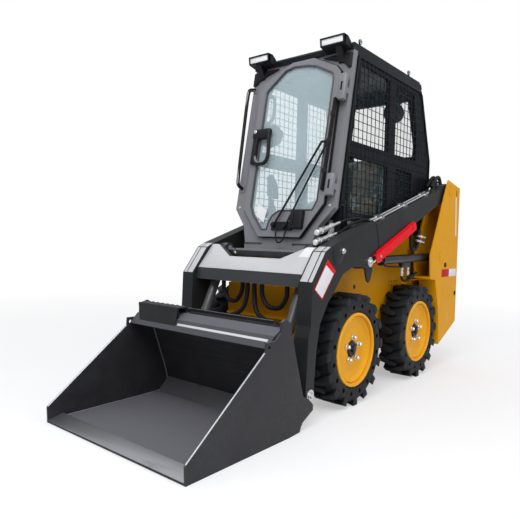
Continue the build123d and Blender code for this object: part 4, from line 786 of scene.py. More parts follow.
door = {
    "glass": [
        # x and height of the window's corners, going round
        (-0.2016, 1.701), (-0.138, 1.759), (-0.081, 1.810), (-0.020, 1.823), (0.075, 1.813), (0.1325, 1.797),
        (0.242, 1.738), (0.2505, 1.700), (0.2477, 1.048), (0.2246, 0.998), (0.0115, 0.998), (-0.0288, 0.972),
        (-0.049, 0.938), (-0.0576, 0.894), (-0.098, 0.894), (-0.1728, 0.978), (-0.1987, 1.032),
    ],
    "edge": [
        (-0.249, 1.706), (-0.219, 1.759), (-0.135, 1.803), (-0.040, 1.847), (0.105, 1.846), (0.259, 1.771),
        (0.288, 1.738), (0.288, 1.036), (0.164, 0.858), (-0.115, 0.858), (-0.245, 1.008),
    ],
    "paper": [(-0.148, 0.975), (-0.088, 0.935), (-0.075, 1.005), (-0.142, 1.040)],
    "grow": (1.012, 1.014),   # how much wider the window seal and the door edge are than their outlines
    "rise": 0.0035,           # how far the door edge stands past its outline, up and down the slope
    "sealForm": (-0.036, -0.018, 0.003, 0.007),   # front and back depth, bevel and width of each ring
    "edgeForm": (-0.026, -0.007, 0.002, 0.008),
    "paperDepth": (-0.0300, -0.0294),
}


def makeDoorTrim():
    (glassGrow, edgeGrow), rise = door["grow"], door["rise"] * cos(lean)
    seal = leanPlate([(x * glassGrow, z) for x, z in door["glass"]], *door["sealForm"])
    dress(seal, "doorWindowSeal", "cab_door", "cylinderGrey", 40)
    outline = [(x * edgeGrow, z + (rise if z > 1.3 else -rise)) for x, z in door["edge"]]
    edge = leanPlate(outline, *door["edgeForm"])
    dress(edge, "doorEdgeSeal", "cab_door", "seal", 40)
    paper = leanPlate(door["paper"], *door["paperDepth"])
    dress(paper, "doorPaper", "cab_door", "whiteSign", 40)


makeDoorTrim()

railAndHandle = {
    "rail": [
        (-0.316, 0.004, 1.744), (-0.330, -0.034, 1.739), (-0.3355, -0.045, 1.715), (-0.324, -0.045, 1.44),
        (-0.3125, -0.045, 1.165), (-0.308, -0.034, 1.147), (-0.303, 0.004, 1.138),
    ],
    "loop": [
        (-0.206, 1.436), (-0.213, 1.36), (-0.214, 1.312), (-0.206, 1.278), (-0.188, 1.268), (-0.150, 1.264),
        (-0.128, 1.270), (-0.113, 1.292), (-0.111, 1.33), (-0.126, 1.436),
    ],
    "railRod": (0.0102, 12),     # radius and sides
    "loopRod": (0.0112, 12),
    "loopDepth": -0.048,
    "foot": (0.013, 0.006, 0.020),   # half width, thickness, half height
    "spine": ((-0.238, -0.200), (-0.052, -0.029), (1.268, 1.44), 0.009),
    "boss": ((-0.240, -0.112), (-0.062, -0.029), (1.410, 1.472), 0.016),
    "lock": [(0.0, 0.011), (0.004, 0.011), (0.006, 0.008)],
    "lockAt": (-0.216, -0.061, 1.452),
}


def makeRailAndHandle():
    r = railAndHandle
    rail = wire([onCab(*point) for point in r["rail"]], *r["railRod"])
    dress(rail, "grabRail", "machine", "plastic", 50)
    wide, thick, tall = r["foot"]
    ends = (r["rail"][0], r["rail"][-1])
    feet = [leanBar((x - wide, x + wide), (-thick, 0.0), (z - tall, z + tall), 0.002) for x, _, z in ends]
    dress(feet, "grabRailFeet", "machine", "frontGrey")
    loop = wire([onCab(x, r["loopDepth"], z) for x, z in r["loop"]], *r["loopRod"])
    parts = [loop, leanBar(*r["spine"]), leanBar(*r["boss"])]
    dress(parts, "doorHandle", "cab_door", "plastic", 50)
    lock = lathed(solid(r["lock"]), 20, aimed(outOfCab, onCab(*r["lockAt"])))
    dress(lock, "doorLock", "cab_door", "steel", 50)


makeRailAndHandle()

hingeCovers = {
    "x": (0.298, 0.338),
    "depth": (-0.050, -0.020),
    "slot": (0.311, 0.322),
    "slotDepth": (-0.0508, -0.048),
    "slotHalf": 0.024,
    "spots": ((1.573, 1.715), (1.073, 1.186)),
}


def makeHingeCovers():
    h, plates, slots = hingeCovers, [], []
    for low, high in h["spots"]:
        plates.append(leanBar(h["x"], h["depth"], (low, high), 0.006))
        middle = (low + high) / 2
        heights = (middle - h["slotHalf"], middle + h["slotHalf"])
        slots.append(leanBar(h["slot"], h["slotDepth"], heights, 0.002))
    dress(plates, "hingeCovers", "cab_door", "frontGrey")
    dress(slots, "hingeCoverSlots", "cab_door", "seal")


makeHingeCovers()

wiperTrim = {
    "low": (0.275, 1.100),
    "high": (0.286, 1.586),
    "heights": (1.104, 1.35, 1.582),
    "depths": (-0.0525, -0.0555, -0.0525),   # the back is bowed out in the middle
    "rubber": (-0.006, -0.0345, 0.0032),     # place beside the back, depth and radius
    "rodRadius": 0.0042,
    "clips": (1.20, 1.355, 1.50),
    "clipHalf": (0.010, 0.013),
    "clipDepth": (-0.056, -0.036),
    "motor": ((0.108, 0.186), (-0.064, -0.029), (0.898, 0.998), 0.010),
    "rib": ((0.120, 0.136), (-0.069, -0.058), (0.915, 0.985), 0.003),
    "pivots": [(0.000, 0.918), (0.076, 0.908)],
    "cap": [(0.0, 0.0125), (0.010, 0.0125), (0.014, 0.009)],
    "capFoot": -0.052,
    "hose": [
        (0.020, -0.045, 0.905), (0.022, -0.050, 0.87), (0.032, -0.052, 0.832), (0.054, -0.053, 0.820),
        (0.076, -0.052, 0.832), (0.084, -0.050, 0.87), (0.086, -0.045, 0.900),
    ],
}


def alongBlade(height):
    (xLow, low), (xHigh, high) = wiperTrim["low"], wiperTrim["high"]
    return xLow + (xHigh - xLow) * (height - low) / (high - low)


def makeWiperTrim():
    w = wiperTrim
    aside, depth, radius = w["rubber"]
    rubber = wire([onCab(alongBlade(z) + aside, depth, z) for z in w["heights"]], radius)
    spine = zip(w["heights"], w["depths"])
    back = wire([onCab(alongBlade(z), depth, z) for z, depth in spine], w["rodRadius"])
    wide, tall = w["clipHalf"]
    clips = []
    for z in w["clips"]:
        x = alongBlade(z)
        clips.append(leanBar((x - wide, x + wide), w["clipDepth"], (z - tall, z + tall), 0.003))
    parts = [rubber, back, leanBar(*w["motor"]), leanBar(*w["rib"])] + clips
    dress(parts, "wiperBladeAndMotor", "cab_door", "plastic", 45)
    caps = lathed(capped(w["cap"]), 20, *[aimed(outOfCab, onCab(x, w["capFoot"], z)) for x, z in w["pivots"]])
    dress(caps, "wiperPivots", "cab_door", "plastic", 45)
    hose = wire([onCab(*point) for point in w["hose"]], w["rodRadius"])
    dress(hose, "washerHose", "cab_door", "hose", 50)


makeWiperTrim()
print("door and front fittings")

roofTrim = {
    "lampX": (0.176, 0.322),
    "lensX": (0.184, 0.314),
    "lens": [(-0.1365, 1.8835), (-0.1405, 1.9135), (-0.128, 1.9135), (-0.128, 1.8835)],
    "brow": [(-0.146, 1.9125), (-0.147, 1.9205), (-0.105, 1.9215), (-0.105, 1.9125)],
    "sill": [(-0.140, 1.8755), (-0.1405, 1.8825), (-0.12, 1.8825), (-0.12, 1.8735)],
    "cheek": [(-0.140, 1.8755), (-0.146, 1.9205), (-0.12, 1.9205), (-0.12, 1.8755)],
    "cheekWide": 0.007,
    # A black plate under each lamp: the lamp bracket, drawn as wide as the shadow under it, so most of it is painted
    # shadow
    "bracketAndShadow": [(0.150, 1.843), (0.333, 1.843), (0.333, 1.765), (0.318, 1.762), (0.292, 1.790), (0.235, 1.815)],
    "eyes": [(x, y) for x in (-0.322, 0.322) for y in (0.031, 0.665)],
    "eye": [
        (-0.0046, 0.0088), (-0.0046, 0.0135), (-0.003, 0.01495), (0.003, 0.01495), (0.0046, 0.0135),
        (0.0046, 0.0088), (-0.0046, 0.0088),
    ],
    "eyeAt": 1.926,
    "eyeNut": [(0.0, 0.0085), (0.006, 0.0085)],
    "eyeNutAt": 1.9,
    "bracketAndShadowDepth": (-0.014, 0.0),
    "bolts": [(0.315, 1.831), (0.307, 1.030)],
    "boltSize": (0.006, 0.006),
}


def makeRoofTrim():
    r, lenses, frames, eyes = roofTrim, [], [], []
    for side in (1, -1):
        lenses.append(plate(r["lens"], "x", *span(side, *r["lensX"]), 0.0015))
        low, high = span(side, *r["lampX"])
        frames += [plate(r[part], "x", low, high, 0.002) for part in ("brow", "sill")]
        for x in (low, high - r["cheekWide"]):
            frames.append(plate(r["cheek"], "x", x, x + r["cheekWide"], 0.0015))
        # Black bracket plate widened over the shadow below the lamp: painted shadow
        frames.append(leanPlate([(side * x, z) for x, z in r["bracketAndShadow"]], *r["bracketAndShadowDepth"], 0.002))
    for x, y in r["eyes"]:
        eyes += lathed(r["eye"], 28, Matrix.Translation((x, y, r["eyeAt"])))
        eyes += lathed(solid(r["eyeNut"]), 6, aimed((0, 0, 1), (x, y, r["eyeNutAt"])))
    dress(eyes, "liftingEyes", "machine", "steel", 40)
    spots = [onCab(side * x, 0.0, z) for side in (1, -1) for x, z in r["bolts"]]
    boltsAt("cabFrontBolts", spots, outOfCab, *r["boltSize"], "machine")
    dress(lenses, "lampLenses", "machine", "whiteLens", 40)
    dress(frames, "lampFrames", "machine", "plastic", 40)


makeRoofTrim()

guard = {
    "wire": 0.0022,
    "gaps": (0.048, 0.044),  # between upright and between level wires
    "plane": 0.3408,
    "frame": (0.3345, 0.3435),
    "frameWide": 0.010,
    "outline": [
        (-0.158, 1.03), (-0.008, 1.842), (0.820, 1.842), (0.850, 1.825), (1.012, 1.412),
        (1.012, 1.195), (0.792, 0.962), (0.785, 0.910), (-0.125, 0.910), (-0.125, 1.03),
    ],
}


def crossings(outline, value, axis):
    # Where a straight line at a value enters and leaves the outline
    found = []
    for a, b in zip(outline, outline[1:] + outline[:1]):
        if (a[axis] - value) * (b[axis] - value) < 0:
            share = (value - a[axis]) / (b[axis] - a[axis])
            found.append(a[1 - axis] + share * (b[1 - axis] - a[1 - axis]))
    found.sort()
    return list(zip(found[::2], found[1::2]))


def straightWire(start, end, radius):
    start, end = Vector(start), Vector(end)
    line = end - start
    bpy.ops.mesh.primitive_cylinder_add(vertices=6, radius=radius, depth=line.length, end_fill_type="TRIFAN")
    piece = bpy.context.object
    turn = Vector((0, 0, 1)).rotation_difference(line).to_matrix().to_4x4()
    piece.data.transform(Matrix.Translation((start + end) / 2) @ turn)
    piece.select_set(False)
    return piece


def makeGuard(side):
    # Level wires lie behind the upright ones
    outline, radius, rods = guard["outline"], guard["wire"], []
    for axis, gap in enumerate(guard["gaps"]):
        x = side * (guard["plane"] - axis * radius * 1.6)
        low, high = min(p[axis] for p in outline), max(p[axis] for p in outline)
        count = int((high - low) / gap)
        first = low + ((high - low) - count * gap) / 2 + gap * 0.25
        for step in range(count + 1):
            value = first + step * gap
            for ends in crossings(outline, value, axis):
                start, end = ((x, value, v) if axis == 0 else (x, v, value) for v in ends)
                rods.append(straightWire(start, end, radius))
    return rods


def makeGuards():
    clearSelection()
    for side, hand in ((1, "Left"), (-1, "Right")):
        dress(makeGuard(side), "guardMesh" + hand, "machine", "cab", 60)
        frameRing = plate(guard["outline"], "x", *span(side, *guard["frame"]), 0.0015, guard["frameWide"])
        dress(frameRing, "guardFrame" + hand, "machine", "cab", 40)


makeGuards()

windows = {
    "upper": [(-0.0590, 1.376), (0.0220, 1.812), (0.390, 1.812), (0.390, 1.376)],
    "lower": [(-0.1306, 0.990), (-0.0720, 1.306), (0.390, 1.306), (0.390, 0.910), (-0.050, 0.910)],
    "rearLower": [(0.490, 1.306), (0.735, 1.306), (0.735, 1.030), (0.680, 0.945), (0.490, 0.945)],
    "rear": [(0.465, 1.376), (0.465, 1.800), (0.740, 1.800), (0.805, 1.480), (0.790, 1.376)],
}
windowSeal = {"x": (0.318, 0.3355), "bevel": 0.002, "width": 0.009}
rings = [
    plate(outline, "x", *span(side, *windowSeal["x"]), windowSeal["bevel"], windowSeal["width"])
    for outline in windows.values() for side in (1, -1)
]
dress(rings, "sideWindowSeals", "machine", "seal", 40)
print("lamps, guards and window seals")

seat = {
    # pads: low and high corners, crown on each axis, subdivision, lean back at the top
    "cushion": ((-0.217, 0.337, 0.833), (0.217, 0.690, 0.924), (0.004, 0.006, 0.014), 2),
    "back": ((-0.207, 0.648, 0.936), (0.207, 0.712, 1.406), (0.004, 0.016, 0.006), 2, 0.060),
    "bolsters": (twins(0.182, 0.032, (0.35, 0.88), (0.66, 0.945)), (0.006, 0.004, 0.010), 1),
    "sides": (twins(0.174, 0.030, (0.632, 0.96), (0.70, 1.33)), (0.006, 0.010, 0.005), 1, 0.045),
    "settle": 0.72,          # above this share of the crown a face swells, below it the face pulls in
    "piping": [
        # the seam's share of its reach, then y and z
        (1, 0.345, 0.926), (1, 0.45, 0.936), (1, 0.62, 0.936), (0.98, 0.642, 0.99), (0.96, 0.655, 1.2),
        (0.9, 0.69, 1.395),
    ],
    "pipingRod": (0.0035, 6),
    "seams": (-0.150, 0.150),
    "buckles": twins(0.236, 0.024, (0.55, 0.90), (0.60, 0.975)),
}


def padForm(low, high, crown, levels, lean=0.0):
    # A crowned pad: a subdivided box whose broad face swells and whose sides pull in between the corners
    piece = bar(low, high)
    selectOnly(piece)
    selectAllInEdit()
    bpy.ops.mesh.subdivide(number_cuts=6)
    softenEdges(piece, 0.004, 1, 60)
    middle = [(a + b) / 2 for a, b in zip(low, high)]
    half = [(b - a) / 2 for a, b in zip(low, high)]
    for vertex in piece.data.vertices:
        part = [(vertex.co[i] - middle[i]) / half[i] for i in range(3)]
        for i in range(3):
            fall = (1 - part[i - 1] ** 2) * (1 - part[i - 2] ** 2)
            vertex.co[i] += part[i] * (fall - seat["settle"]) * crown[i]
        vertex.co.y += lean * max(0.0, (vertex.co.z - low[2]) / (high[2] - low[2]))
    applyModifier(piece, "smoothForm", "SUBSURF", levels=levels, render_levels=levels)
    return piece


def makeSeat():
    pads = [padForm(*seat["cushion"]), padForm(*seat["back"])]
    for group in ("bolsters", "sides"):
        boxes, *form = seat[group]
        pads += [padForm(low, high, *form) for low, high in boxes]
    whole = dress(pads, "seatPads", "machine", "film", 60)
    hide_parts("seat")
    piping = [wire([(x * share, y, z) for share, y, z in seat["piping"]], *seat["pipingRod"]) for x in seat["seams"]]
    dress(piping, "seatPiping", "machine", "seal", 60)
    buckles = [bar(low, high, 0.008) for low, high in seat["buckles"]]
    dress(buckles, "beltBuckles", "machine", "plastic", 50)


makeSeat()

cabInside = {
    "loop": [
        (-0.300, -0.030, 1.545), (-0.268, -0.045, 1.535), (-0.210, -0.045, 1.548), (-0.198, -0.040, 1.62),
        (-0.208, -0.030, 1.700), (-0.268, -0.025, 1.708), (-0.304, -0.020, 1.695),
    ],
    "loopRod": (0.0105, 10),     # radius and sides
    "gripRod": (0.0195, 16),
    "stalkRod": (0.007, 8),
    "boot": [
        (0.0, 0.034), (0.012, 0.034), (0.018, 0.027), (0.026, 0.029), (0.034, 0.022), (0.042, 0.024),
        (0.052, 0.016), (0.085, 0.014),
    ],
    "bootAt": (0.262, 0.035, 1.010),
    "grip": [(0.236, 0.037, 1.100), (0.238, 0.037, 1.150), (0.252, 0.036, 1.200), (0.280, 0.035, 1.238)],
    "housing": [
        (-0.322, 1.520), (-0.165, 1.520), (-0.128, 1.478), (-0.128, 1.452), (-0.150, 1.410), (-0.225, 1.392),
        (-0.322, 1.430),
    ],
    "housingDepth": (-0.068, -0.038),
    "screen": ((-0.290, -0.0385, 1.432), (-0.160, -0.0362, 1.508)),
    "fan": [(0.0, 0.062), (0.006, 0.066), (0.020, 0.064), (0.045, 0.046), (0.055, 0.030)],
    "fanAt": (0.262, 0.60, 1.67),
    "fanFaces": (-0.6, 0.75, 0),
    "stalk": [(0.29, 0.66, 1.80), (0.285, 0.66, 1.76), (0.27, 0.63, 1.70)],
}


def makeCabInside():
    c = cabInside
    dress(wire(c["loop"], *c["loopRod"]), "insideGrabLoop", "machine", "cylinderGrey", 60)
    x, y, z = c["bootAt"]
    boots = lathed(solid(c["boot"]), 24, *[aimed((0, 0, 1), (side * x, y, z)) for side in (1, -1)])
    dress(boots, "leverBoots", "machine", "seal", 50)
    grips = [wire([(side * x, y, z) for x, y, z in c["grip"]], *c["gripRod"]) for side in (1, -1)]
    dress(grips, "leverGrips", "machine", "plastic", 50)
    housing = plate(c["housing"], "y", *c["housingDepth"], 0.006)
    dress(housing, "displayHousing", "machine", "plastic", 40)
    dress(bar(*c["screen"], 0.001), "displayGlass", "machine", "sideGlass", 40)
    fan = lathed(solid(c["fan"]), 32, aimed(c["fanFaces"], c["fanAt"]))
    dress(fan + [wire(c["stalk"], *c["stalkRod"])], "insideFan", "machine", "plastic", 50)


makeCabInside()
print("seat and controls")


# Arms and the front of the machine
def slopeMatrix(low, high):
    # Local x across, y up a slope between two (y, z) points, z out of it
    up = Vector((0, high[0] - low[0], high[1] - low[1])).normalized()
    out = Vector((0, -up.z, up.y))
    return Matrix(((1, up.x, out.x, 0), (0, up.y, out.y, low[0]), (0, up.z, out.z, low[1]), (0, 0, 0, 1)))


def slopeLength(low, high):
    return hypot(high[0] - low[0], high[1] - low[1])


armTrim = {
    "face": 0.432,
    "slopes": (((-0.532, 0.654), (-0.422, 0.796)), ((-0.422, 0.796), (-0.374, 0.820))),
    "strips": ((0.360, 0.400), (0.406, 0.426)),
    "sign": [(-0.410, 0.759), (-0.338, 0.704), (-0.451, 0.574), (-0.518, 0.624)],
    "band": [(-0.410, 0.759), (-0.338, 0.704), (-0.354, 0.689), (-0.428, 0.736)],
    "proud": (0.0012, 0.0016, 0.0018),   # the sign, its edge and its band over the face
    "edgeWide": 0.004,
    "stripEnds": (0.004, 0.003),         # bare metal below and above a strip
    "stripSkin": (-0.0002, 0.0008, 0.0002),
    "boss": [(0.0, 0.050), (0.004, 0.050), (0.006, 0.046)],
    "bossAt": (0.430, -0.317, 0.785),
    "seam": [(0.074, 0.950), (0.086, 0.915), (0.100, 0.872), (0.112, 0.800)],
    "seamX": 0.4325,
    "seamRod": (0.0028, 6),
    "bolts": [(0.436, -0.276, 0.800)],
    "boltSize": (0.011, 0.011),
    "pins": [(0.438, -0.532, 0.140), (0.438, 0.010, 0.741)],
    "pinSize": (0.013, 0.012),
}


def makeArmTrim():
    a, face = armTrim, armTrim["face"]
    signFace, edgeFace, bandFace = (face + proud for proud in a["proud"])
    dress(plate(a["sign"], "x", face, signFace, 0.0004), "armSign", "arms", "whiteSign", 40)
    edge = plate(a["sign"], "x", face, edgeFace, ring=a["edgeWide"])
    band = plate(a["band"], "x", face, bandFace, 0.0003)
    dress([edge, band], "armSignEdge", "arms", "red", 40)
    strips = []
    for side in (1, -1):
        for slope in a["slopes"]:
            low, high = a["stripEnds"][0], slopeLength(*slope) - a["stripEnds"][1]
            for left, right in (span(side, *strip) for strip in a["strips"]):
                outline = [(left, low), (right, low), (right, high), (left, high)]
                strips.append(put(plate(outline, "z", *a["stripSkin"]), slopeMatrix(*slope)))
    dress(strips, "armFrontStrips", "arms", "paleGrey", 40)
    x, y, z = a["bossAt"]
    bosses = lathed(solid(a["boss"]), 40, *[onSide(side, (side * x, y, z)) for side in (1, -1)])
    dress(bosses, "armBosses", "arms", "charcoal", 40)
    dress(wiresAt(a["seamX"], a["seam"], *a["seamRod"]), "armWeldSeams", "arms", "charcoal", 60)
    boltsOnSides("armBolts", a["bolts"], *a["boltSize"], "arms")
    boltsOnSides("pinBolts", a["pins"], *a["pinSize"], "arms")


makeArmTrim()

prop = {
    "flange": [(0.072, 0.795), (0.545, 0.981), (0.553, 0.962), (0.080, 0.776)],
    "flangeX": (0.4345, 0.4385),
    "bolts": {
        # place, then radius and height
        "propBolt": ((0.4505, 0.520, 0.9375), 0.010, 0.004),
        "propFrontBolt": ((0.4505, 0.100, 0.772), 0.008, 0.004),
    },
}
flange = plate(prop["flange"], "x", *prop["flangeX"], 0.001)
dress(flange, "propUpperFlange", "arms", "red", 40)
for name, (spot, radius, height) in prop["bolts"].items():
    boltsAt(name, [spot], (1, 0, 0), radius, height, "arms")

liftHoses = {
    "x": 0.392,
    "loopX": 0.4195,         # beside the lift cylinder's rod, which swings past with the arms up
    "loop": [
        (0.560, 0.940), (0.558, 0.860), (0.578, 0.812), (0.615, 0.800), (0.655, 0.815), (0.676, 0.860),
        (0.690, 0.940),
    ],
    "sleeves": (0.372, 0.402),
    "sleeve": [(0.905, 1.224), (0.955, 1.270), (1.005, 1.303), (1.045, 1.296), (1.064, 1.258)],
    "loopRod": (0.011, 12),      # radius and sides
    "sleeveRod": (0.012, 12),
    "pipeRod": (0.005, 8),
    "hoseRod": (0.008, 10),
    "ports": (0.505, 0.594),
    "portTop": 0.698,
    "port": [
        (0, 0.011), (0.014, 0.011), (0.015, 0.0085), (0.026, 0.0085), (0.027, 0.012), (0.042, 0.012),
        (0.044, 0.0095), (0.052, 0.0095),
    ],
    "hoses": {
        # x, then the route
        0.392: [(0.505, 0.650), (0.507, 0.628), (0.545, 0.612), (0.620, 0.618), (0.700, 0.645)],
        0.396: [(0.594, 0.650), (0.598, 0.634), (0.640, 0.630), (0.720, 0.660)],
    },
    "pipe": [(0.249, 0.720), (0.270, 0.709), (0.420, 0.704), (0.500, 0.702)],
    "block": (0.013, (0.485, 0.696), (0.614, 0.728)),   # half width, then (y, z) of its ends
}


def makeLiftHoses():
    h = liftHoses
    x = h["x"]
    loops = wiresAt(h["loopX"], h["loop"], *h["loopRod"])
    for sleeveX in h["sleeves"]:
        loops += wiresAt(sleeveX, h["sleeve"], *h["sleeveRod"])
    dress(loops, "armHoseLoops", "arms", "hose", 60)
    hoses = wiresAt(x, h["pipe"], *h["pipeRod"])
    for hoseX, route in h["hoses"].items():
        hoses += wiresAt(hoseX, route, *h["hoseRod"])
    dress(hoses, "liftCylinderHoses", "lift_barrels", "hose", 60)
    blocks = [bar(low, high, 0.004) for low, high in twins(x, *h["block"])]
    dress(blocks, "liftCylinderBlocks", "lift_barrels", "cylinderBlack", 40)
    spots = [(side * x, y, h["portTop"]) for side in (1, -1) for y in h["ports"]]
    ports = lathed(solid(h["port"]), 12, *[aimed((0, 0, -1), spot) for spot in spots])
    dress(ports, "liftCylinderPorts", "lift_barrels", "steel", 35)


makeLiftHoses()

coupling = {
    "x": 0.346,
    "tail": (0.002, 0.0082),     # how far short of its hose the body ends, and its radius there
    "bracketX": (0.3405, 0.3455),
    "lines": [((-0.380, 0.886), (-0.170, 0.944)), ((-0.391, 0.838), (-0.200, 0.887))],
    "profile": [
        (-0.004, 0.0120), (0.0, 0.0150), (0.018, 0.0150), (0.020, 0.0128), (0.034, 0.0128), (0.036, 0.0168),
        (0.048, 0.0168), (0.050, 0.0158), (0.076, 0.0158), (0.080, 0.0128), (0.096, 0.0128), (0.098, 0.0095),
        (0.118, 0.0095), (0.120, 0.0132), (0.146, 0.0132), (0.148, 0.0085),
    ],
    "bracket": [(-0.278, 0.824), (-0.244, 0.824), (-0.230, 0.880), (-0.230, 0.952), (-0.264, 0.952), (-0.278, 0.880)],
}


def makeCouplings():
    bodies, (short, radius) = [], coupling["tail"]
    for front, rear in coupling["lines"]:
        profile = coupling["profile"] + [(slopeLength(front, rear) - short, radius)]
        line = (0, rear[0] - front[0], rear[1] - front[1])
        bodies += lathed(solid(profile), 28, aimed(line, (coupling["x"], *front)))
    dress(bodies, "quickCouplings", "arms", "steel", 30)
    bracket = plate(coupling["bracket"], "x", *coupling["bracketX"], 0.0015)
    dress(bracket, "couplingBracket", "arms", "cylinderBlack", 40)


makeCouplings()

# Crimped steel ends where the steel lines meet their hoses, and along the lift cylinder
hoseFittings = {
    # shares of the fitting's length and radius
    "profile": [
        (0, 1), (0.3, 1), (0.32, 0.7), (0.42, 0.7), (0.44, 1.1), (0.62, 1.1), (0.64, 0.85), (1, 0.85),
    ],
    "spots": [
        ((0.372, 0.086, 0.9585), (0.372, 0.142, 0.9750), 0.0092),
        ((0.402, 0.086, 0.9585), (0.402, 0.142, 0.9750), 0.0092),
        ((0.372, 0.822, 1.1731), (0.372, 0.872, 1.1876), 0.0095),
        ((0.402, 0.800, 1.1667), (0.402, 0.850, 1.1812), 0.0095),
        ((0.425, 0.655, 0.894), (0.425, 0.770, 0.886), 0.008),
        ((0.425, 0.632, 0.866), (0.425, 0.748, 0.854), 0.008),
    ],
}


def makeHoseFittings():
    ends = []
    for start, end, radius in hoseFittings["spots"]:
        line = Vector(end) - Vector(start)
        profile = [(line.length * share, radius * wide) for share, wide in hoseFittings["profile"]]
        ends += lathed(solid(profile), 12, aimed(line, start))
    dress(ends, "hoseFittings", "arms", "steel", 35)


makeHoseFittings()

crossPlate = {
    "slope": ((-0.492, 0.686), (-0.382, 0.814)),
    "half": 0.351,
    "notch": (0.170, 0.300),
    "notchZ": 0.752,
    "skin": (0.0, 0.0012, 0.0004),           # from and to height over the slope, and bevel
    "sign": (0.272, 0.292, 0.338),           # its lower and upper left corners and its right edge
    "signEnds": (0.066, 0.004),              # its lower and upper edges, down from the slope's top
    "signSkin": (0.0012, 0.0022, 0.0003),
}


def makeCrossPlate():
    # A pale grey skin over the plate's slope, with the notch over the tread: a painted reflection of the light on
    # this slope that faces up
    onSlope = slopeMatrix(*crossPlate["slope"])
    reach = slopeLength(*crossPlate["slope"])
    half, (notchIn, notchOut) = crossPlate["half"], crossPlate["notch"]
    notchUp = (crossPlate["notchZ"] - crossPlate["slope"][0][1]) / onSlope[2][1]
    outline = [
        (-half, 0.0), (half, 0.0), (half, reach), (notchOut, reach), (notchIn, notchUp), (-notchIn, notchUp),
        (-notchOut, reach), (-half, reach),
    ]
    skin = put(plate(outline, "z", *crossPlate["skin"]), onSlope)
    dress(skin, "crossPlateTop", "arms", "paleGrey", 40)
    lowLeft, highLeft, right = crossPlate["sign"]
    low, high = (reach - down for down in crossPlate["signEnds"])
    outline = [(lowLeft, low), (right, low), (right, high), (highLeft, high)]
    label = put(plate(outline, "z", *crossPlate["signSkin"]), onSlope)
    dress(label, "crossPlateSign", "arms", "whiteSign", 40)


makeCrossPlate()

tread = {
    "half": 0.244,
    "top": 0.785,
    "pitch": 0.028,
    "rows": (-0.343, -0.319, -0.295),
    "stud": [(0.0, 0.0112), (0.006, 0.0092), (0.010, 0.0066), (0.010, 0.0050), (0.001, 0.0040)],
    "front": (-0.3615, -0.3585),
    "saw": (0.006, 0.001, 0.012),    # a front tooth's half width, foot and height
    "bolts": [(-0.2, -0.362, 0.770), (0.2, -0.362, 0.770)],
    "boltSize": (0.008, 0.006),
}


def makeTread():
    half, top, pitch = tread["half"], tread["top"], tread["pitch"]
    wide, foot, tall = tread["saw"]
    count = int(2 * half / pitch)
    spots = []
    for row, y in enumerate(tread["rows"]):
        spots += [(-half + pitch * (step + (0.75 if row % 2 else 0.5)), y, top) for step in range(count)]
    teeth = lathed(capped(tread["stud"]), 10, *[aimed((0, 0, 1), spot) for spot in spots])
    for step in range(2 * count):
        x = -half + pitch * (step + 0.5) / 2
        saw = [(x - wide, top - foot), (x + wide, top - foot), (x, top + tall)]
        teeth.append(plate(saw, "y", *tread["front"]))
    # The teeth take the lighter front grey over the dark tread: a painted highlight on them
    dress(teeth, "treadTeeth", "machine", "frontGrey", 30)
    boltsAt("treadBolts", tread["bolts"], (0, -1, 0), *tread["boltSize"], "machine")


makeTread()
print("arms and tread")

bucket = {
    # side outlines in (y back from the cutting edge's tip, z)
    "tip": -1.315,
    "cuttingEdge": [(0.002, 0.0125), (0.076, 0.0300), (0.080, 0.0130)],
    "weld": [
        (0.08, 0.0135), (0.4, 0.0135), (0.66, 0.0135), (0.69, 0.036), (0.702, 0.078), (0.63, 0.272),
        (0.555, 0.465),
    ],
    "heel": [(0.634, 0.0118), (0.634, 0.0135), (0.700, 0.0830), (0.7015, 0.0810), (0.692, 0.036), (0.672, 0.0118)],
    "cheekEdge": [(0.0045, 0.073), (0.21, 0.2315), (0.421, 0.3925)],
    "edgeHalf": 0.4475,
    "heelHalf": 0.4462,
    "weldX": 0.4465,
    "weldRod": (0.0035, 6),      # radius and sides
    "wearX": 0.452,
    "wearRod": (0.0038, 6),
    "studGrid": (-0.420, 0.037, 8),      # first x, pitch and count
    "studRows": (0.508, 0.534),
    "studTop": 0.508,
    "gripGrid": (-0.120, 0.0125, 44),
    "gripRows": (0.546, 0.560),
    "gripThick": 0.004,
    "stud": [(0.0, 0.0125), (0.003, 0.0100), (0.0045, 0.0080), (0.0045, 0.0060), (-0.001, 0.0055)],
    "saw": [(-0.0045, 0.4775), (0.0045, 0.4775), (0.002, 0.486), (-0.002, 0.486)],
    "apron": [(-0.440, 0.5075), (-0.140, 0.5075), (-0.127, 0.4270), (-0.392, 0.4270)],
    "apronDepth": (0.4872, 0.4898),
    "apronLean": 0.34,
    # A bright steel strip along the lip and another along the back edge of the top: painted highlights on those edges
    "wear": [(0.463, 0.4285), (0.4715, 0.4372), (0.4708, 0.4379), (0.4622, 0.4292)],
    "lipHighlightX": (-0.118, 0.430),
    "backEdgeHighlight": ((-0.340, -0.7005, 0.4895), (0.340, -0.6975, 0.4908)),
}


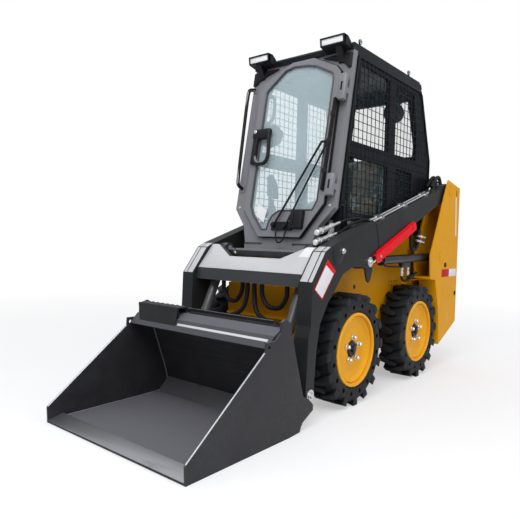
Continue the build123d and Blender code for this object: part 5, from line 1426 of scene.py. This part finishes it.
def makeBucketTrim():
    b, tip = bucket, bucket["tip"]
    sideOf = {
        part: [(tip + y, z) for y, z in b[part]] for part in ("cuttingEdge", "weld", "heel", "cheekEdge", "wear")}
    edge = plate(sideOf["cuttingEdge"], "x", -b["edgeHalf"], b["edgeHalf"], 0.0012)
    dress(edge, "cuttingEdgePlate", "tool", "wornSteel", 30)
    # Weld beads drawn in a lighter grey than the bucket: a painted highlight along them
    dress(wiresAt(b["weldX"], sideOf["weld"], *b["weldRod"]), "bucketWelds", "tool", "frontGrey", 60)
    # The heel plate takes a lighter grey than the bucket: a painted reflection along the bend between floor and back
    heel = plate(sideOf["heel"], "x", -b["heelHalf"], b["heelHalf"])
    dress(heel, "bucketHeelPlate", "tool", "cylinderGrey", 30)
    cheekWear = wiresAt(b["wearX"], sideOf["cheekEdge"], *b["wearRod"])
    dress(cheekWear, "bucketEdgeWear", "tool", "wornSteel", 60)
    first, pitch, count = b["studGrid"]
    spots = [(first + step * pitch, tip + y, b["studTop"]) for step in range(count) for y in b["studRows"]]
    studs = lathed(capped(b["stud"]), 12, *[aimed((0, 0, 1), spot) for spot in spots])
    dress(studs, "bucketStepTeeth", "tool", "bucket", 30)
    first, pitch, count = b["gripGrid"]
    places = [Matrix.Translation((first + step * pitch, 0, 0)) for step in range(count)]
    grips = []
    for y in b["gripRows"]:
        grips += copiesOf(plate(b["saw"], "y", tip + y, tip + y + b["gripThick"]), places)
    dress(grips, "bucketGripTeeth", "tool", "bucket", 30)
    forward, hinge = b["apronLean"], b["apron"][0][1]
    apron = plate(b["apron"], "y", *(tip + y for y in b["apronDepth"]))
    put(apron, Matrix(((1, 0, 0, 0), (0, 1, forward, -forward * hinge), (0, 0, 1, 0), (0, 0, 0, 1))))
    dress(apron, "bucketStepApron", "tool", "charcoal", 30)
    # Bright strips on the lip and the top's back edge: painted highlights
    wear = [plate(sideOf["wear"], "x", *b["lipHighlightX"]), bar(*b["backEdgeHighlight"])]
    dress(wear, "bucketLipHighlight", "tool", "lipHighlight", 40)


makeBucketTrim()

tower = {
    "face": 0.453,
    "keepers": [(1.127, 1.214), (0.986, 0.762)],
    "keeper": [(0.0, 0.030), (0.002, 0.030), (0.0028, 0.0285), (0.0028, 0.019), (0.0010, 0.0175)],
    # A thin ring round each keeper in the darker yellow: painted shade at the keeper's edge
    "shadeRing": [(0.0, 0.0300), (0.0006, 0.0300), (0.0006, 0.0325), (0.0, 0.0325), (0.0, 0.0300)],
    "plugs": [(1.284, 0.498, 0.016), (1.079, 0.704, 0.017)],   # y, z and radius
    "skin": (0.0012, 0.0004),        # thickness and bevel of the reflectors and strips
    "red": ((1.014, 0.622), (1.150, 0.674)),
    "white": ((1.151, 0.621), (1.291, 0.673)),
    "slot": ((1.247, 1.187), (1.255, 1.228)),
    "strip": [(1.234, 1.180), (1.250, 1.180), (1.272, 0.905), (1.254, 0.905)],
}


def makeTowerTrim():
    t, flats = tower, {"red": [], "white": [], "slot": []}
    spots = [(side, (side * t["face"], y, z)) for side in (1, -1) for y, z in t["keepers"]]
    keepers = lathed(solid(t["keeper"]), 36, *[onSide(side, spot) for side, spot in spots])
    thick, bevel = t["skin"]
    for side in (1, -1):
        low, high = span(side, t["face"], t["face"] + thick)
        for kind, made in flats.items():
            first, second = t[kind]
            made.append(bar((low, *first), (high, *second), bevel))
        flats["white"].append(plate(t["strip"], "x", low, high, bevel))
        for y, z, radius in t["plugs"]:
            neck = radius - 0.003
            profile = [
                (-0.010, poleRadius), (-0.010, neck), (0.0, neck), (0.0, radius), (0.002, radius),
                (0.0026, radius * 0.6), (0.0, radius * 0.45), (-0.004, poleRadius),
            ]
            flats["slot"] += lathed(profile, 24, onSide(side, (side * t["face"], y, z)))
    # Painted shade: a ring of darker yellow round each keeper
    shadeRings = lathed(t["shadeRing"], 36, *[aimed((side, 0, 0), spot) for side, spot in spots])
    dress(shadeRings, "keeperShadeRings", "machine", "shadedYellow", 35)
    dress(keepers, "pinKeepers", "machine", "yellow", 35)
    dress(flats["red"], "redReflectors", "machine", "redLens", 35)
    dress(flats["white"], "paleStrips", "machine", "whiteSign", 35)
    dress(flats["slot"], "towerPlugs", "machine", "seal", 35)


makeTowerTrim()

hull = {
    "face": 0.284,
    "bolt": (0.119, 0.591),
    "boltSize": (0.010, 0.005),
    "holes": [(0.565, 0.602), (0.602, 0.602), (0.640, 0.602), (0.675, 0.602), (0.565, 0.575), (0.602, 0.575)],
    "plug": [(0.0, 0.0055), (0.0008, 0.0050)],
}
boltsOnSides("hullBolt", [(hull["face"], *hull["bolt"])], *hull["boltSize"], "machine", "cylinderBlack")
places = [aimed((side, 0, 0), (side * hull["face"], y, z)) for side in (1, -1) for y, z in hull["holes"]]
dress(lathed(solid(hull["plug"]), 14, *places), "hullPlugs", "machine", "seal", 40)

rear = {
    "louvres": 9,
    "topLouvre": 1.008,
    "pitch": 0.036,
    "louvreHalf": 0.004,
    "gripRod": (0.0012, 6),
    "louvre": ((-0.182, 1.268), (0.182, 1.300)),
    "screen": ((-0.184, 1.2745, 0.66), (0.184, 1.2765, 1.03)),
    "latch": ((-0.060, 1.300, 0.52), (0.060, 1.309, 0.60)),
    "grip": [(-0.045, 1.309, 0.565), (-0.040, 1.3125, 0.565), (0.040, 1.3125, 0.565), (0.045, 1.309, 0.565)],
    "lens": (0.396, 0.038, (1.309, 1.012), (1.3138, 1.148)),
}


def makeRearTrim():
    low, high = rear["louvre"]
    heights = [rear["topLouvre"] - rear["pitch"] * step for step in range(rear["louvres"])]
    half = rear["louvreHalf"]
    bars = [bar((*low, z - half), (*high, z + half), 0.002) for z in heights]
    dress(bars, "doorGrilleBars", "engine_door", "plastic", 40)
    dress(bar(*rear["screen"]), "doorGrilleScreen", "engine_door", "seal", 40)
    latch = [bar(*rear["latch"], 0.004), wire(rear["grip"], *rear["gripRod"])]
    dress(latch, "doorLatch", "engine_door", "plastic", 40)
    lenses = [bar(lensLow, lensHigh, 0.0015) for lensLow, lensHigh in twins(*rear["lens"])]
    dress(lenses, "tailLenses", "machine", "redLens", 40)


makeRearTrim()
print("bucket, towers and rear")
